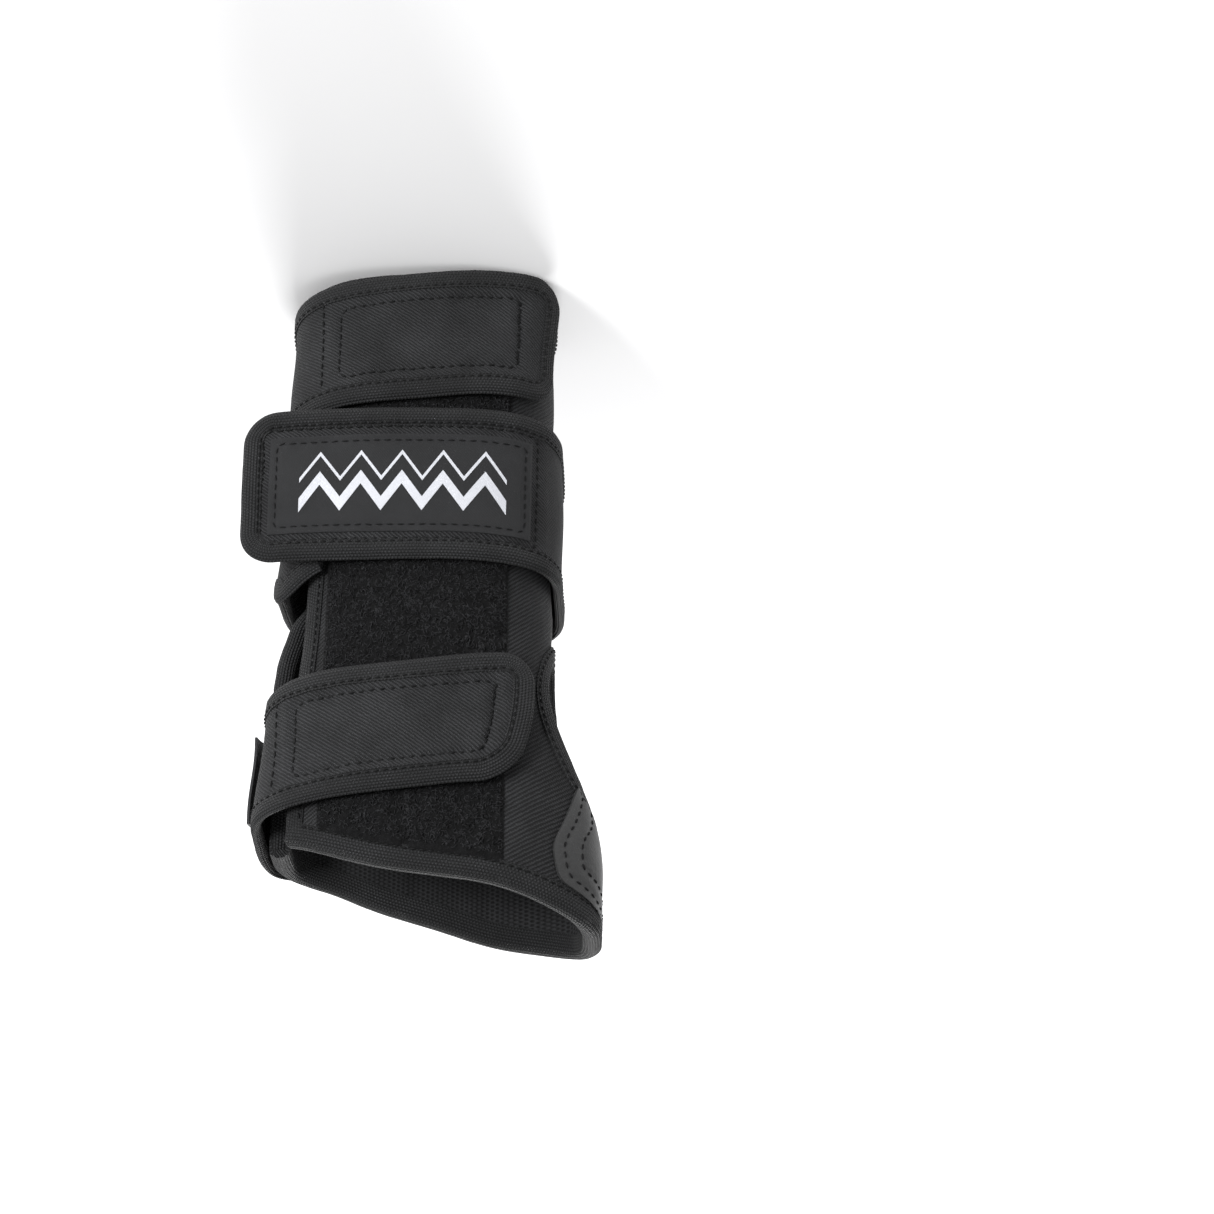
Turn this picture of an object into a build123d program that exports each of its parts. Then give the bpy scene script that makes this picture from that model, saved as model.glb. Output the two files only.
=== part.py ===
"""Wrist guard for the right hand, standing on its cuff.

Frame: millimetres, +Z up along the forearm from the cuff to the fingers, the back of the hand
faces -Y, the palm +Y, the thumb -X and the little finger +X. The origin is the middle of the
cuff's lower rim. Every soft layer is cut from bands that follow one sleeve form.
"""

import math
import os

from build123d import *

# ---- sleeve form ----
LITTLE_FINGER_HALF = 40.0
LITTLE_FINGER_FLARE = 5.5  # how much the little finger side widens towards the hand
THUMB_HALF = 38.0
THUMB_WAIST = 1.5
THUMB_FLARE = 14.5
DORSAL_HALF = 28.0
DORSAL_WAIST = 1.5  # how much the back dips at the wrist
PALM_HALF = 27.0
DORSAL_POWER = 2.8  # superellipse exponents: the higher, the flatter the face
PALM_POWER = 3.6
STRAP_PALM_POWER = 6.0
STATIONS = (0.0, 55.0, 105.0, 135.0, 160.0, 188.0, 230.0)
FORM_TOP = STATIONS[-1]
SECTION_POINTS = 24

# ---- hand end: one slanting cut ----
HAND_MID = 199.0
HAND_SLOPE = 0.27

# ---- layers of the wall ----
FACE = 1.0
FOAM = 2.6
LINING = 0.8
WALL = FACE + FOAM + LINING
TAPE_WIDTH = 6.5
TAPE_PROUD = 0.8

# ---- slit on the little finger side, and thumb hole ----
SLIT_BACK_LINE = ((20.0, -5.7), (80.0, -45.9))  # square to the sleeve where it cuts it
SLIT_PALM_Y = -2.0
SEAM_Y = 8.0  # thumb side seam between the dorsal and palm panels
THUMB_HOLE_Z = 149.0
THUMB_HOLE_HALF_Y = 15.0
THUMB_HOLE_HALF_Z = 24.0

# ---- loop panel and back stay ----
LOOP_X = (-24.5, 30.0)
LOOP_THICK = 1.6
STAY_X = (-18.0, 23.0)
STAY_Z = (18.0, 180.0)
STAY_THICK = 1.2

# ---- palm leather, pockets and splint ----
PANEL_CUFF_X = (-33.0, 34.0)
PANEL_HAND_X = (-31.0, 38.0)
PANEL_LOW = 0.8
PANEL_HAND_INSET = 5.0
PANEL_BASE = (0.8, 1.6)
PANEL_COVER = (1.6, 2.6)
SPLINT_X = (-23.0, 20.0)
SPLINT_Z = (30.0, 178.0)
SPLINT_THICK = 2.2
SPLINT_INNER_Y = 29.3
SPLINT_CORNER = 8.0
BOW_START = 108.0
BOW_RIDGE = 131.0
BOW_END = 150.0
BOW_RISE = 13.0
POCKET_CLEAR = 1.2
POCKET_LEATHER = 1.0
POCKET_ROOF_Y = 32.0
UPPER_POCKET_Z = (12.0, 98.0)
LOWER_POCKET_Z = (154.0, 184.0)
SLIT_CUT_Z = 25.0
SLIT_CUT_HEIGHT = 0.6

# ---- straps ----
STRAP_GAP = 3.1  # from the sleeve to a strap's inner face: loop pile, clearance and hook pile
STRAP_PALM_GAP = 1.2
STRAP_THICK = 2.2
HOOK_THICK = 1.2
SEWN_GAP = 0.05  # between a strap and what is sewn on it
PATCH_THICK = 0.8
EDGE_TAPE = 6.0  # width of the tape round a strap
EDGE_TAPE_IN = 0.2
EDGE_TAPE_OUT = 0.4
STRAP_CORNER = 10.0
HINGE_GAP = 0.35  # each side of a strap's fold
CUFF_STRAP_MID_Z = 24.5  # where the strap's middle line crosses the middle of the back
CUFF_STRAP_HALF = 21.2
CUFF_STRAP_SLOPE = 0.07
CUFF_STRAP_END = -37.0
CUFF_LINE = (CUFF_STRAP_END, CUFF_STRAP_MID_Z, CUFF_STRAP_HALF, CUFF_STRAP_SLOPE)
CUFF_FOLD_X = 34.0
HAND_STRAP_MID_Z = 155.0
HAND_STRAP_HALF = 20.0
HAND_STRAP_SLOPE = 0.11
HAND_STRAP_END = -31.5
HAND_LINE = (HAND_STRAP_END, HAND_STRAP_MID_Z, HAND_STRAP_HALF, HAND_STRAP_SLOPE)
HAND_FOLD_X = 41.0
WRAP_Z = (51.0, 101.0)
WRAP_END_X = 56.0
WRAP_FOLD_Y = -8.0
WRAP_REACH = 38.0  # extra half width that keeps the free end nearly flat
WRAP_THICK = 1.8
WRAP_SIDE_GAP = 5.0
WRAP_THUMB_GAP = 1.8
WRAP_DORSAL_GAP = 1.1
WRAP_PALM_GAP = 7.0
WRAP_START_X = 31.5

BIG = 400.0
os.makedirs("parts", exist_ok=True)


def smooth(value, low, high):
    """0 below low, 1 above high, and an easy S between."""
    t = min(max((value - low) / (high - low), 0.0), 1.0)
    return t * t * (3 - 2 * t)


def half_sizes(z):
    """Half widths of the bare sleeve at height z: little finger, thumb, dorsal and palm side."""
    little = LITTLE_FINGER_HALF + LITTLE_FINGER_FLARE * smooth(z, 95, 175)
    thumb = THUMB_HALF - THUMB_WAIST * math.sin(math.pi * min(z, 130) / 130)
    thumb += THUMB_FLARE * smooth(z, 125, 195)
    dorsal = DORSAL_HALF - DORSAL_WAIST * math.sin(math.pi * min(z, 200) / 200)
    return little, thumb, dorsal, PALM_HALF


def form_point(z, angle, grow, palm_power=PALM_POWER):
    """Point of the sleeve form at polar angle, grown by (little, thumb, dorsal, palm)."""
    little, thumb, dorsal, palm = (h + g for h, g in zip(half_sizes(z), grow))
    c, s = math.cos(angle), math.sin(angle)
    width = little if c > 0 else thumb
    depth, power = (palm, palm_power) if s > 0 else (dorsal, DORSAL_POWER)
    reach = ((abs(c) / width) ** power + (abs(s) / depth) ** power) ** (-1 / power)
    return reach * c, reach * s, z


def surface_y(x, z, grow, side=-1):
    """y of the grown form at x on the dorsal (-1) or palm (1) side."""
    little, thumb, dorsal, palm = (h + g for h, g in zip(half_sizes(z), grow))
    width = little if x > 0 else thumb
    depth, power = (palm, PALM_POWER) if side > 0 else (dorsal, DORSAL_POWER)
    return side * depth * (1 - (abs(x) / width) ** power) ** (1 / power)


forms = {}


def form(grow, palm_power=PALM_POWER):
    """Solid of the sleeve form grown by (little, thumb, dorsal, palm)."""
    key = (grow, palm_power)
    if key not in forms:
        wires = []
        turns = [2 * math.pi * k / SECTION_POINTS for k in range(SECTION_POINTS)]
        for z in STATIONS:
            points = [form_point(z, a, grow, palm_power) for a in turns]
            wires.append(Wire([Spline(*points, periodic=True)]))
        forms[key] = Solid.make_loft(wires)
    return forms[key]


def even(amount):
    """The same growth on all four sides."""
    return (amount,) * 4


def band(inner, outer):
    """Layer of the sleeve between two even growths."""
    return form(even(outer)) - form(even(inner))


def block(x_range, y_range, z_range):
    """Axis-aligned box from its ranges."""
    corner = Align.MIN
    size = [high - low for low, high in (x_range, y_range, z_range)]
    return Pos(x_range[0], y_range[0], z_range[0]) * Box(*size, align=(corner,) * 3)


def facing(sketch, side):
    """Prism of an XZ outline through the dorsal (-1) or palm (1) half."""
    return extrude(Plane.XZ * sketch, amount=-side * BIG / 2)


def beyond_hand(inset):
    """Everything past the hand end's cut, moved back by inset."""
    tilt = Plane(origin=(0, 0, HAND_MID), z_dir=(HAND_SLOPE, 0, 1))
    low = (Align.CENTER, Align.CENTER, Align.MIN)
    return tilt * Pos(0, 0, -inset) * Box(BIG, BIG, BIG, align=low)


def slit(grow):
    """The slit's space, a wedge widened by grow each way."""
    (x_in, y_in), (x_out, y_out) = SLIT_BACK_LINE
    length = math.hypot(x_out - x_in, y_out - y_in)
    across, along = grow * (y_in - y_out) / length, grow * (x_out - x_in) / length
    back = [(x_in - across, y_in - along), (x_out - across, y_out - along)]
    palm_y = SLIT_PALM_Y + grow
    wedge = Polygon(*back, (x_out, palm_y), (x_in - across, palm_y), align=None)
    return Pos(0, 0, -50) * extrude(wedge, amount=BIG)


def thumb_hole(grow):
    """The thumb hole's space, widened by grow."""
    oval = Pos(0, THUMB_HOLE_Z) * Ellipse(THUMB_HOLE_HALF_Y + grow, THUMB_HOLE_HALF_Z + grow)
    return extrude(Plane.YZ * oval, amount=-BIG / 2)


def trimmed(layer, inset):
    """A layer of the wall, cut back by inset from the cuff, hand end, slit and thumb hole."""
    below = block((-BIG, BIG), (-BIG, BIG), (-BIG, inset))
    return layer - beyond_hand(inset) - below - slit(inset) - thumb_hole(inset)


def strap_outline(inset, x_end, mid, half, slope=0.0):
    """XZ outline of a strap whose rounded free end is at x_end and whose other end runs on."""
    length = BIG / 2
    way = 1 if x_end < 0 else -1
    turn = math.degrees(math.atan(slope))
    shape = RectangleRounded(length - inset, 2 * (half - inset), STRAP_CORNER - inset / 2)
    end = Pos(x_end, mid + slope * x_end)
    return end * Rot(0, 0, turn) * Pos(way * (length + inset) / 2, 0) * shape


def save(name, shape):
    """Writes one node and prints its size."""
    export_step(shape, f"parts/{name}.step")
    print(name, len(shape.solids()), "solids", round(shape.volume), "mm3")


# ---- sleeve wall ----
def sleeve_wall():
    """Face fabric, foam, lining and the stay inside the back."""
    dorsal_half = block((-BIG, BIG), (-BIG, SEAM_Y), (-BIG, BIG))
    palm_half = block((-BIG, BIG), (SEAM_Y, BIG), (-BIG, BIG))
    # past the slit the palm panel comes round the little finger side to the slit's edge
    palm_corner = block((0, BIG), (SLIT_PALM_Y, SEAM_Y), (-BIG, BIG))
    face = trimmed(band(-FACE, 0.0), TAPE_WIDTH)
    foam = trimmed(band(-FACE - FOAM, -FACE), TAPE_WIDTH)
    stay_outline = Pos(sum(STAY_X) / 2, sum(STAY_Z) / 2) * RectangleRounded(
        STAY_X[1] - STAY_X[0], STAY_Z[1] - STAY_Z[0], SPLINT_CORNER
    )
    stay = band(-FACE - STAY_THICK, -FACE) & facing(stay_outline, -1)
    save("back_stay", stay)
    save("back_face_fabric", (face & dorsal_half) - palm_corner)
    save("palm_face_fabric", (face & palm_half) + (face & palm_corner))
    save("back_foam", (foam & dorsal_half) - palm_corner - stay)
    save("palm_foam", (foam & palm_half) + (foam & palm_corner))
    save("mesh_lining", trimmed(band(-WALL, -FACE - FOAM), TAPE_WIDTH))


def edge_tapes():
    """Binding tapes that wrap the wall's raw edges."""
    wrap = band(-WALL - TAPE_PROUD / 2, TAPE_PROUD)
    open_wrap = wrap - slit(0) - thumb_hole(0)
    save("cuff_tape", open_wrap & block((-BIG, BIG), (-BIG, BIG), (0, TAPE_WIDTH)))
    save("hand_end_tape", (open_wrap & beyond_hand(TAPE_WIDTH)) - beyond_hand(0))
    clear_ends = block((-BIG, BIG), (-BIG, BIG), (TAPE_WIDTH, BIG))
    side = (wrap & clear_ends) - beyond_hand(TAPE_WIDTH)
    both = (side & slit(TAPE_WIDTH)) - slit(0)
    save("slit_tape_back", both & block((-BIG, BIG), (-BIG, SLIT_PALM_Y - 1), (-BIG, BIG)))
    save("slit_tape_palm", both & block((-BIG, BIG), (SLIT_PALM_Y - 1, BIG), (-BIG, BIG)))
    save("thumb_hole_tape", (wrap & thumb_hole(TAPE_WIDTH)) - thumb_hole(0))


def loop_panel():
    """Loop pile strip down the back, which every strap closes on."""
    centre, width = sum(LOOP_X) / 2, LOOP_X[1] - LOOP_X[0]
    strip = Pos(centre, BIG / 4) * Rectangle(width, BIG)
    layer = (band(0.0, LOOP_THICK) & facing(strip, -1)) - beyond_hand(TAPE_WIDTH)
    return layer - block((-BIG, BIG), (-BIG, BIG), (-BIG, TAPE_WIDTH))


def thumb_patch():
    """Leather patch round the thumb side, between the thumb hole and the hand end."""
    palm_side = [(0, 160), (13, 161), (24, 174), (21, 193), (0, 208)]
    back_side = [(-17, 205), (-23.5, 194), (-19, 177), (-10, 163)]
    outline = fillet(Polygon(*palm_side, *back_side, align=None).vertices(), 5)
    shape = band(0.0, 1.0) & extrude(Plane.YZ * outline, amount=-BIG / 2)
    return shape - thumb_hole(TAPE_WIDTH) - beyond_hand(TAPE_WIDTH)


# ---- palm side ----
def panel_outline(inset):
    """XZ outline of the palm leather, as tall as the form: the hand end is cut later."""
    (cuff_a, cuff_b), (hand_a, hand_b) = PANEL_CUFF_X, PANEL_HAND_X
    low, high = PANEL_LOW + inset, FORM_TOP
    right = [(cuff_b - inset, low), (hand_b - inset, high)]
    return Polygon((cuff_a + inset, low), *right, (hand_a + inset, high), align=None)


def over_splint(grow, y_top, z_range):
    """Block over the splint's width, grown sideways."""
    x_low, x_high = SPLINT_X[0] - grow, SPLINT_X[1] + grow
    return block((x_low, x_high), (15, y_top), z_range)


def palm_leather():
    """Base leather, then the cover with its two pockets, window and cut."""
    panel = facing(panel_outline(0), 1)
    base = (band(*PANEL_BASE) & panel) - beyond_hand(PANEL_HAND_INSET)
    save("palm_leather_base", base)
    (upper_low, upper_high), (lower_low, lower_high) = UPPER_POCKET_Z, LOWER_POCKET_Z
    roof, grow = POCKET_ROOF_Y + POCKET_LEATHER, POCKET_CLEAR + POCKET_LEATHER
    cover = form(even(PANEL_COVER[1])) & panel
    cover += over_splint(grow, roof, (upper_low - POCKET_LEATHER, upper_high))
    cover += over_splint(grow, roof, (lower_low, lower_high + POCKET_LEATHER))
    cover -= over_splint(POCKET_CLEAR, POCKET_ROOF_Y, (upper_low, lower_high))
    cover -= over_splint(POCKET_CLEAR, BIG, (upper_high, lower_low))
    cut_z = (SLIT_CUT_Z, SLIT_CUT_Z + SLIT_CUT_HEIGHT)
    cover -= block((-21, 18), (POCKET_ROOF_Y - 1, BIG), cut_z)
    cover -= form(even(PANEL_COVER[0]))
    save("palm_leather_cover", cover - beyond_hand(PANEL_HAND_INSET))


def palm_splint():
    """Bowed plate: two flat legs in the pockets and a bow that stands off the palm."""
    mid_y = SPLINT_INNER_Y + SPLINT_THICK / 2
    x_mid = sum(SPLINT_X) / 2
    line = FilletPolyline(
        (x_mid, mid_y, SPLINT_Z[0]),
        (x_mid, mid_y, BOW_START),
        (x_mid, mid_y + BOW_RISE, BOW_RIDGE),
        (x_mid, mid_y, BOW_END),
        (x_mid, mid_y, SPLINT_Z[1]),
        radius=(30.0, 9.0, 9.0),
    )
    width = SPLINT_X[1] - SPLINT_X[0]
    start = Plane(origin=(x_mid, mid_y, SPLINT_Z[0]), x_dir=(1, 0, 0), z_dir=(0, 0, 1))
    plate = sweep(start * Rectangle(width, SPLINT_THICK), path=line)
    corners = Pos(x_mid, sum(SPLINT_Z) / 2) * RectangleRounded(
        width, SPLINT_Z[1] - SPLINT_Z[0], SPLINT_CORNER
    )
    return plate & facing(corners, 1)


def side_label():
    """Folded label sewn at the leather's little finger edge."""
    return Pos(47.0, 26.6, 155.0) * Rot(0, 0, -21.4) * Box(17.0, 1.0, 29.0)


# ---- straps ----
def strap_layers(inner, thick, prisms, keep):
    """Fabric inside the tape, and the tape round it, of a strap between two forms."""
    outline, inside = prisms
    body = form(tuple(g + thick for g in inner)) - form(inner)
    tape_inner = form(tuple(g - EDGE_TAPE_IN for g in inner))
    tape = form(tuple(g + thick + EDGE_TAPE_OUT for g in inner)) - tape_inner
    return (body & inside) & keep, ((tape & outline) - inside) & keep


def side_strap(name, line, fold_x, palm_x, hook_x):
    """Strap that leaves the palm panel at the little finger side and closes on the back."""
    outline, inset_outline = strap_outline(0, *line), strap_outline(EDGE_TAPE, *line)
    gap = STRAP_GAP
    inner = (gap, gap, gap, STRAP_PALM_GAP)
    prisms = (facing(outline, -1), facing(inset_outline, -1))
    moving = block((-BIG, fold_x - HINGE_GAP), (-BIG, 0), (-BIG, BIG))
    fabric, tape = strap_layers(inner, STRAP_THICK, prisms, moving)
    save(name, fabric)
    save(name + "_tape", tape)
    both = [facing(o, -1) + facing(o, 1) for o in (outline, inset_outline)]
    fixed = block((fold_x + HINGE_GAP, BIG), (-BIG, 0), (-BIG, BIG))
    fixed += block((palm_x, BIG), (0, BIG), (-BIG, BIG))
    fabric, tape = strap_layers(inner, STRAP_THICK, both, fixed)
    save(name + "_root", fabric)
    save(name + "_root_tape", tape)
    hook_slab = band(gap - HOOK_THICK, gap - SEWN_GAP)
    keep = block(hook_x, (-BIG, 0), (-BIG, BIG))
    save(name + "_hook", hook_slab & prisms[1] & keep)


def wrap_strap():
    """Elastic strap: a fixed run round the palm side and a free end over the back."""
    low, high = WRAP_Z
    line = (WRAP_END_X, (low + high) / 2, (high - low) / 2)
    prisms = (facing(strap_outline(0, *line), -1), facing(strap_outline(EDGE_TAPE, *line), -1))
    reach, thumb, dorsal = WRAP_REACH, WRAP_THUMB_GAP, STRAP_GAP
    inner = (reach, thumb, dorsal, 0.0)
    moving = block((-BIG, BIG), (-BIG, WRAP_FOLD_Y - HINGE_GAP), (-BIG, BIG))
    fabric, tape = strap_layers(inner, STRAP_THICK, prisms, moving)
    save("wrap_strap_end", fabric)
    save("wrap_strap_end_tape", tape)
    hook = form(tuple(g - SEWN_GAP for g in inner)) - form(tuple(g - HOOK_THICK for g in inner))
    save("wrap_strap_hook", hook & prisms[1] & block((-18, 27), (-BIG, 0), (-BIG, BIG)))
    top = tuple(g + STRAP_THICK + SEWN_GAP for g in inner)
    label = form(tuple(g + PATCH_THICK for g in top)) - form(top)
    save("woven_patch", label & block((-30, 48), (-BIG, 0), (58.5, 93.5)))

    gaps = (WRAP_SIDE_GAP, WRAP_THUMB_GAP, WRAP_DORSAL_GAP, WRAP_PALM_GAP)
    run = [
        form(tuple(g + grow for g in gaps), palm_power=STRAP_PALM_POWER)
        for grow in (0.0, WRAP_THICK, WRAP_THICK + EDGE_TAPE_OUT)
    ]
    keep = block((-BIG, BIG), (0, BIG), WRAP_Z)
    keep += block((-BIG, 0), (WRAP_FOLD_Y + HINGE_GAP, 0), WRAP_Z)
    keep += block((WRAP_START_X, BIG), (-BIG, 0), WRAP_Z)
    middle = block((-BIG, BIG), (-BIG, BIG), (low + EDGE_TAPE, high - EDGE_TAPE))
    save("wrap_strap_run", (run[1] - run[0]) & keep & middle)
    save("wrap_strap_run_tape", ((run[2] - run[0]) & keep) - middle)


def print_hinges():
    """Prints where each strap folds, for the record's joints."""
    side = even(STRAP_GAP + STRAP_THICK + EDGE_TAPE_OUT)
    folds = (("cuff_strap", CUFF_FOLD_X, CUFF_LINE), ("hand_strap", HAND_FOLD_X, HAND_LINE))
    for name, x, (_, mid, half, slope) in folds:
        for z in (mid + slope * x - half, mid + slope * x + half):
            print(name, "fold", (x, round(surface_y(x, z, side), 2), round(z, 1)))
    for z in WRAP_Z:
        thumb = half_sizes(z)[1] + WRAP_THUMB_GAP + STRAP_THICK + EDGE_TAPE_OUT
        print("wrap_strap fold", (round(-thumb, 2), WRAP_FOLD_Y, z))


sleeve_wall()
edge_tapes()
save("loop_panel", loop_panel())
save("thumb_patch", thumb_patch())
palm_leather()
save("palm_splint", palm_splint())
save("side_label", side_label())
side_strap("cuff_strap", CUFF_LINE, CUFF_FOLD_X, 35.0, (-30, 26))
side_strap("hand_strap", HAND_LINE, HAND_FOLD_X, 39.5, (-24, 33))
wrap_strap()
print_hinges()
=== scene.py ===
import math

import bpy
import numpy as np
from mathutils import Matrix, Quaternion, Vector


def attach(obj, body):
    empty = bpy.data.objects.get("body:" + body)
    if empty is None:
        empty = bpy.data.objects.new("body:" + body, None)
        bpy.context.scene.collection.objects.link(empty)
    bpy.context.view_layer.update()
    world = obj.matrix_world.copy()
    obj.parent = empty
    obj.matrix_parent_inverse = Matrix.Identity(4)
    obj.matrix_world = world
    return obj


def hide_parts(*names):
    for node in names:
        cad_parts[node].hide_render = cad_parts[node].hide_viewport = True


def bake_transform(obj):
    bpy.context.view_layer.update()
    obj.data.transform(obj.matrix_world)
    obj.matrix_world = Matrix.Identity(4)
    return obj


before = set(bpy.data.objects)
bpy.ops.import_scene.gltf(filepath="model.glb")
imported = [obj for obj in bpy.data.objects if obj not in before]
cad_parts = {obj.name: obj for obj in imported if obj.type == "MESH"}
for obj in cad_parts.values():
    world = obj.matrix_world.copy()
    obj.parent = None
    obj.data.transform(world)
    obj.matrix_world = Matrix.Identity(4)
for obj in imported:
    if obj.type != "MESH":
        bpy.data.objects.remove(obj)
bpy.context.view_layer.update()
rng = np.random.default_rng(7)
MM = 0.001

# ---- sleeve form, in millimetres

HAND_MID, HAND_SLOPE = 199.0, 0.27
SLIT_LINE = ((20.0, -5.7), (80.0, -45.9))
SLIT_PALM_Y = -2.0
SEAM_Y = 8.0
HOLE_Z, HOLE_HALF_Y, HOLE_HALF_Z = 149.0, 15.0, 24.0
HOLE_X, HOLE_MARGIN = -20.0, 3.0
PADDING_LO = -3.6
TAPE = 6.5
PALM_POWER, BACK_POWER = 3.6, 2.8


def smooth(value, low, high):
    """0 up to low, easing to 1 at high."""
    t = np.clip((np.asarray(value, float) - low) / (high - low), 0, 1)
    return t * t * (3 - 2 * t)


def halves(z):
    """How far the sleeve reaches from its axis: to the little finger, the thumb, the back and the palm."""
    z = np.asarray(z, float)
    little = 40 + 5.5 * smooth(z, 95, 175)
    thumb = 38 - 1.5 * np.sin(np.pi * np.clip(z, 0, 130) / 130) + 14.5 * smooth(z, 125, 195)
    dorsal = 28 - 1.5 * np.sin(np.pi * np.clip(z, 0, 200) / 200)
    return little, thumb, dorsal, 27 + 0 * z


def form(theta, z, grow, palm_power=PALM_POWER):
    """Points of the sleeve form at polar angle theta and height z, grown by (little, thumb, dorsal, palm)."""
    little, thumb, dorsal, palm = (h + g for h, g in zip(halves(z), grow))
    c, s = np.cos(theta), np.sin(theta)
    width = np.where(c > 0, little, thumb)
    depth = np.where(s > 0, palm, dorsal)
    power = np.where(s > 0, palm_power, BACK_POWER)
    reach = ((np.abs(c) / width) ** power + (np.abs(s) / depth) ** power) ** (-1 / power)
    return np.stack([reach * c, reach * s, z + 0 * c], -1)


def palm_y(x, z, side):
    """Where the palm face is at (x, z), level past the share side of its half width."""
    little, thumb, _, palm = halves(z)
    width = np.where(x > 0, little, thumb)
    return palm * (1 - np.clip(np.abs(x) / width, 0, side) ** PALM_POWER) ** (1 / PALM_POWER)


def wobble(p):
    """Slow unevenness that everything sewn to the sleeve shares, in mm along the normal."""
    x, y, z = p[..., 0], p[..., 1], p[..., 2]
    a = np.sin(0.11 * x + 0.071 * z + 1.3) + np.sin(0.052 * x - 0.128 * z + 0.09 * y + 0.4)
    return 0.22 * (a + np.sin(0.173 * z + 0.064 * y + 2.1 + 0.02 * x))


class Surface:
    """A surface in mm: raw gives its bare points, and sag how far its pieces rise over them."""

    sag, way = None, 1

    def at(self, a, v):
        """Points, outward normals and the two tangents at (a, v)."""
        a, v = np.broadcast_arrays(np.asarray(a, float), np.asarray(v, float))
        e = 0.4
        ea = (self.raw(a + e, v) - self.raw(a - e, v)) / (2 * e)
        ev = (self.raw(a, v + e) - self.raw(a, v - e)) / (2 * e)
        n = self.way * np.cross(ea, ev)
        n /= np.linalg.norm(n, axis=-1, keepdims=True)
        p = self.raw(a, v)
        raised = wobble(p)
        if self.sag is not None:
            raised = raised + self.sag(a, v, p)
        return p + n * raised[..., None], n, ea, ev


class Skin(Surface):
    """A surface over the sleeve form: a is the distance round it and v the height, both in mm."""

    warp = None

    def __init__(self, grow=(0, 0, 0, 0), palm_power=PALM_POWER, z_ref=100.0, slope=0.0, z_mid=0.0):
        self.grow, self.power, self.slope, self.z_mid = grow, palm_power, slope, z_mid
        self.theta = np.radians(np.linspace(-270, 90, 7201))
        p = form(self.theta, np.full(len(self.theta), z_ref), grow, palm_power)
        step = np.linalg.norm(np.diff(p, axis=0), axis=1)
        a = np.concatenate([[0], np.cumsum(step)])
        self.a = a - np.interp(np.radians(-90), self.theta, a)
        self.x = p[:, 0]

    def raw(self, a, v):
        if self.warp is not None:
            a, v = self.warp(a, v)
        theta = np.interp(a, self.a, self.theta)
        z = v + self.z_mid + self.slope * np.interp(a, self.a, self.x)
        return form(theta, z, self.grow, self.power)

    def a_at(self, x, z):
        """Distance round at the given x on the back, at height z."""
        x, z = np.broadcast_arrays(np.asarray(x, float), np.asarray(z, float))
        little, thumb, dorsal, _ = (h + g for h, g in zip(halves(z), self.grow))
        width = np.where(x > 0, little, thumb)
        y = -dorsal * np.maximum(1 - (np.abs(x) / width) ** BACK_POWER, 0) ** (1 / BACK_POWER)
        return np.interp(np.arctan2(y, x), self.theta, self.a)


class Palm(Surface):
    """The palm face as (x, z) in mm, for what lies on it."""

    way = -1

    def __init__(self, bulge=None):
        if bulge is not None:
            self.sag = lambda x, z, p: bulge(x, z)

    def raw(self, x, z):
        return np.stack([x, palm_y(x, z, 0.985), z], -1)


# ---- meshes


def make(name, verts, faces, uv=None, sharp=40):
    """Object from vertices in mm and faces, with UVs in metres and outward normals."""
    used, inverse = np.unique(np.concatenate([np.ravel(f) for f in faces]), return_inverse=True)
    verts = np.asarray(verts, float)[used] * MM
    counts = [len(f) for f in faces]
    loops, start, packed = inverse, 0, []
    for c in counts:
        packed.append(loops[start:start + c].tolist())
        start += c
    mesh = bpy.data.meshes.new(name)
    mesh.from_pydata(verts.tolist(), [], packed)
    if uv is not None:
        layer = mesh.uv_layers.new(name="UVMap")
        index = np.empty(len(mesh.loops), int)
        mesh.loops.foreach_get("vertex_index", index)
        layer.data.foreach_set("uv", (np.asarray(uv, float)[used] * MM)[index].ravel())
    mesh.polygons.foreach_set("use_smooth", np.ones(len(mesh.polygons), bool))
    mesh.validate()
    mesh.update()
    if sharp:
        mesh.set_sharp_from_angle(angle=math.radians(sharp))
    obj = bpy.data.objects.new(name, mesh)
    bpy.context.scene.collection.objects.link(obj)
    return obj


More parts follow.
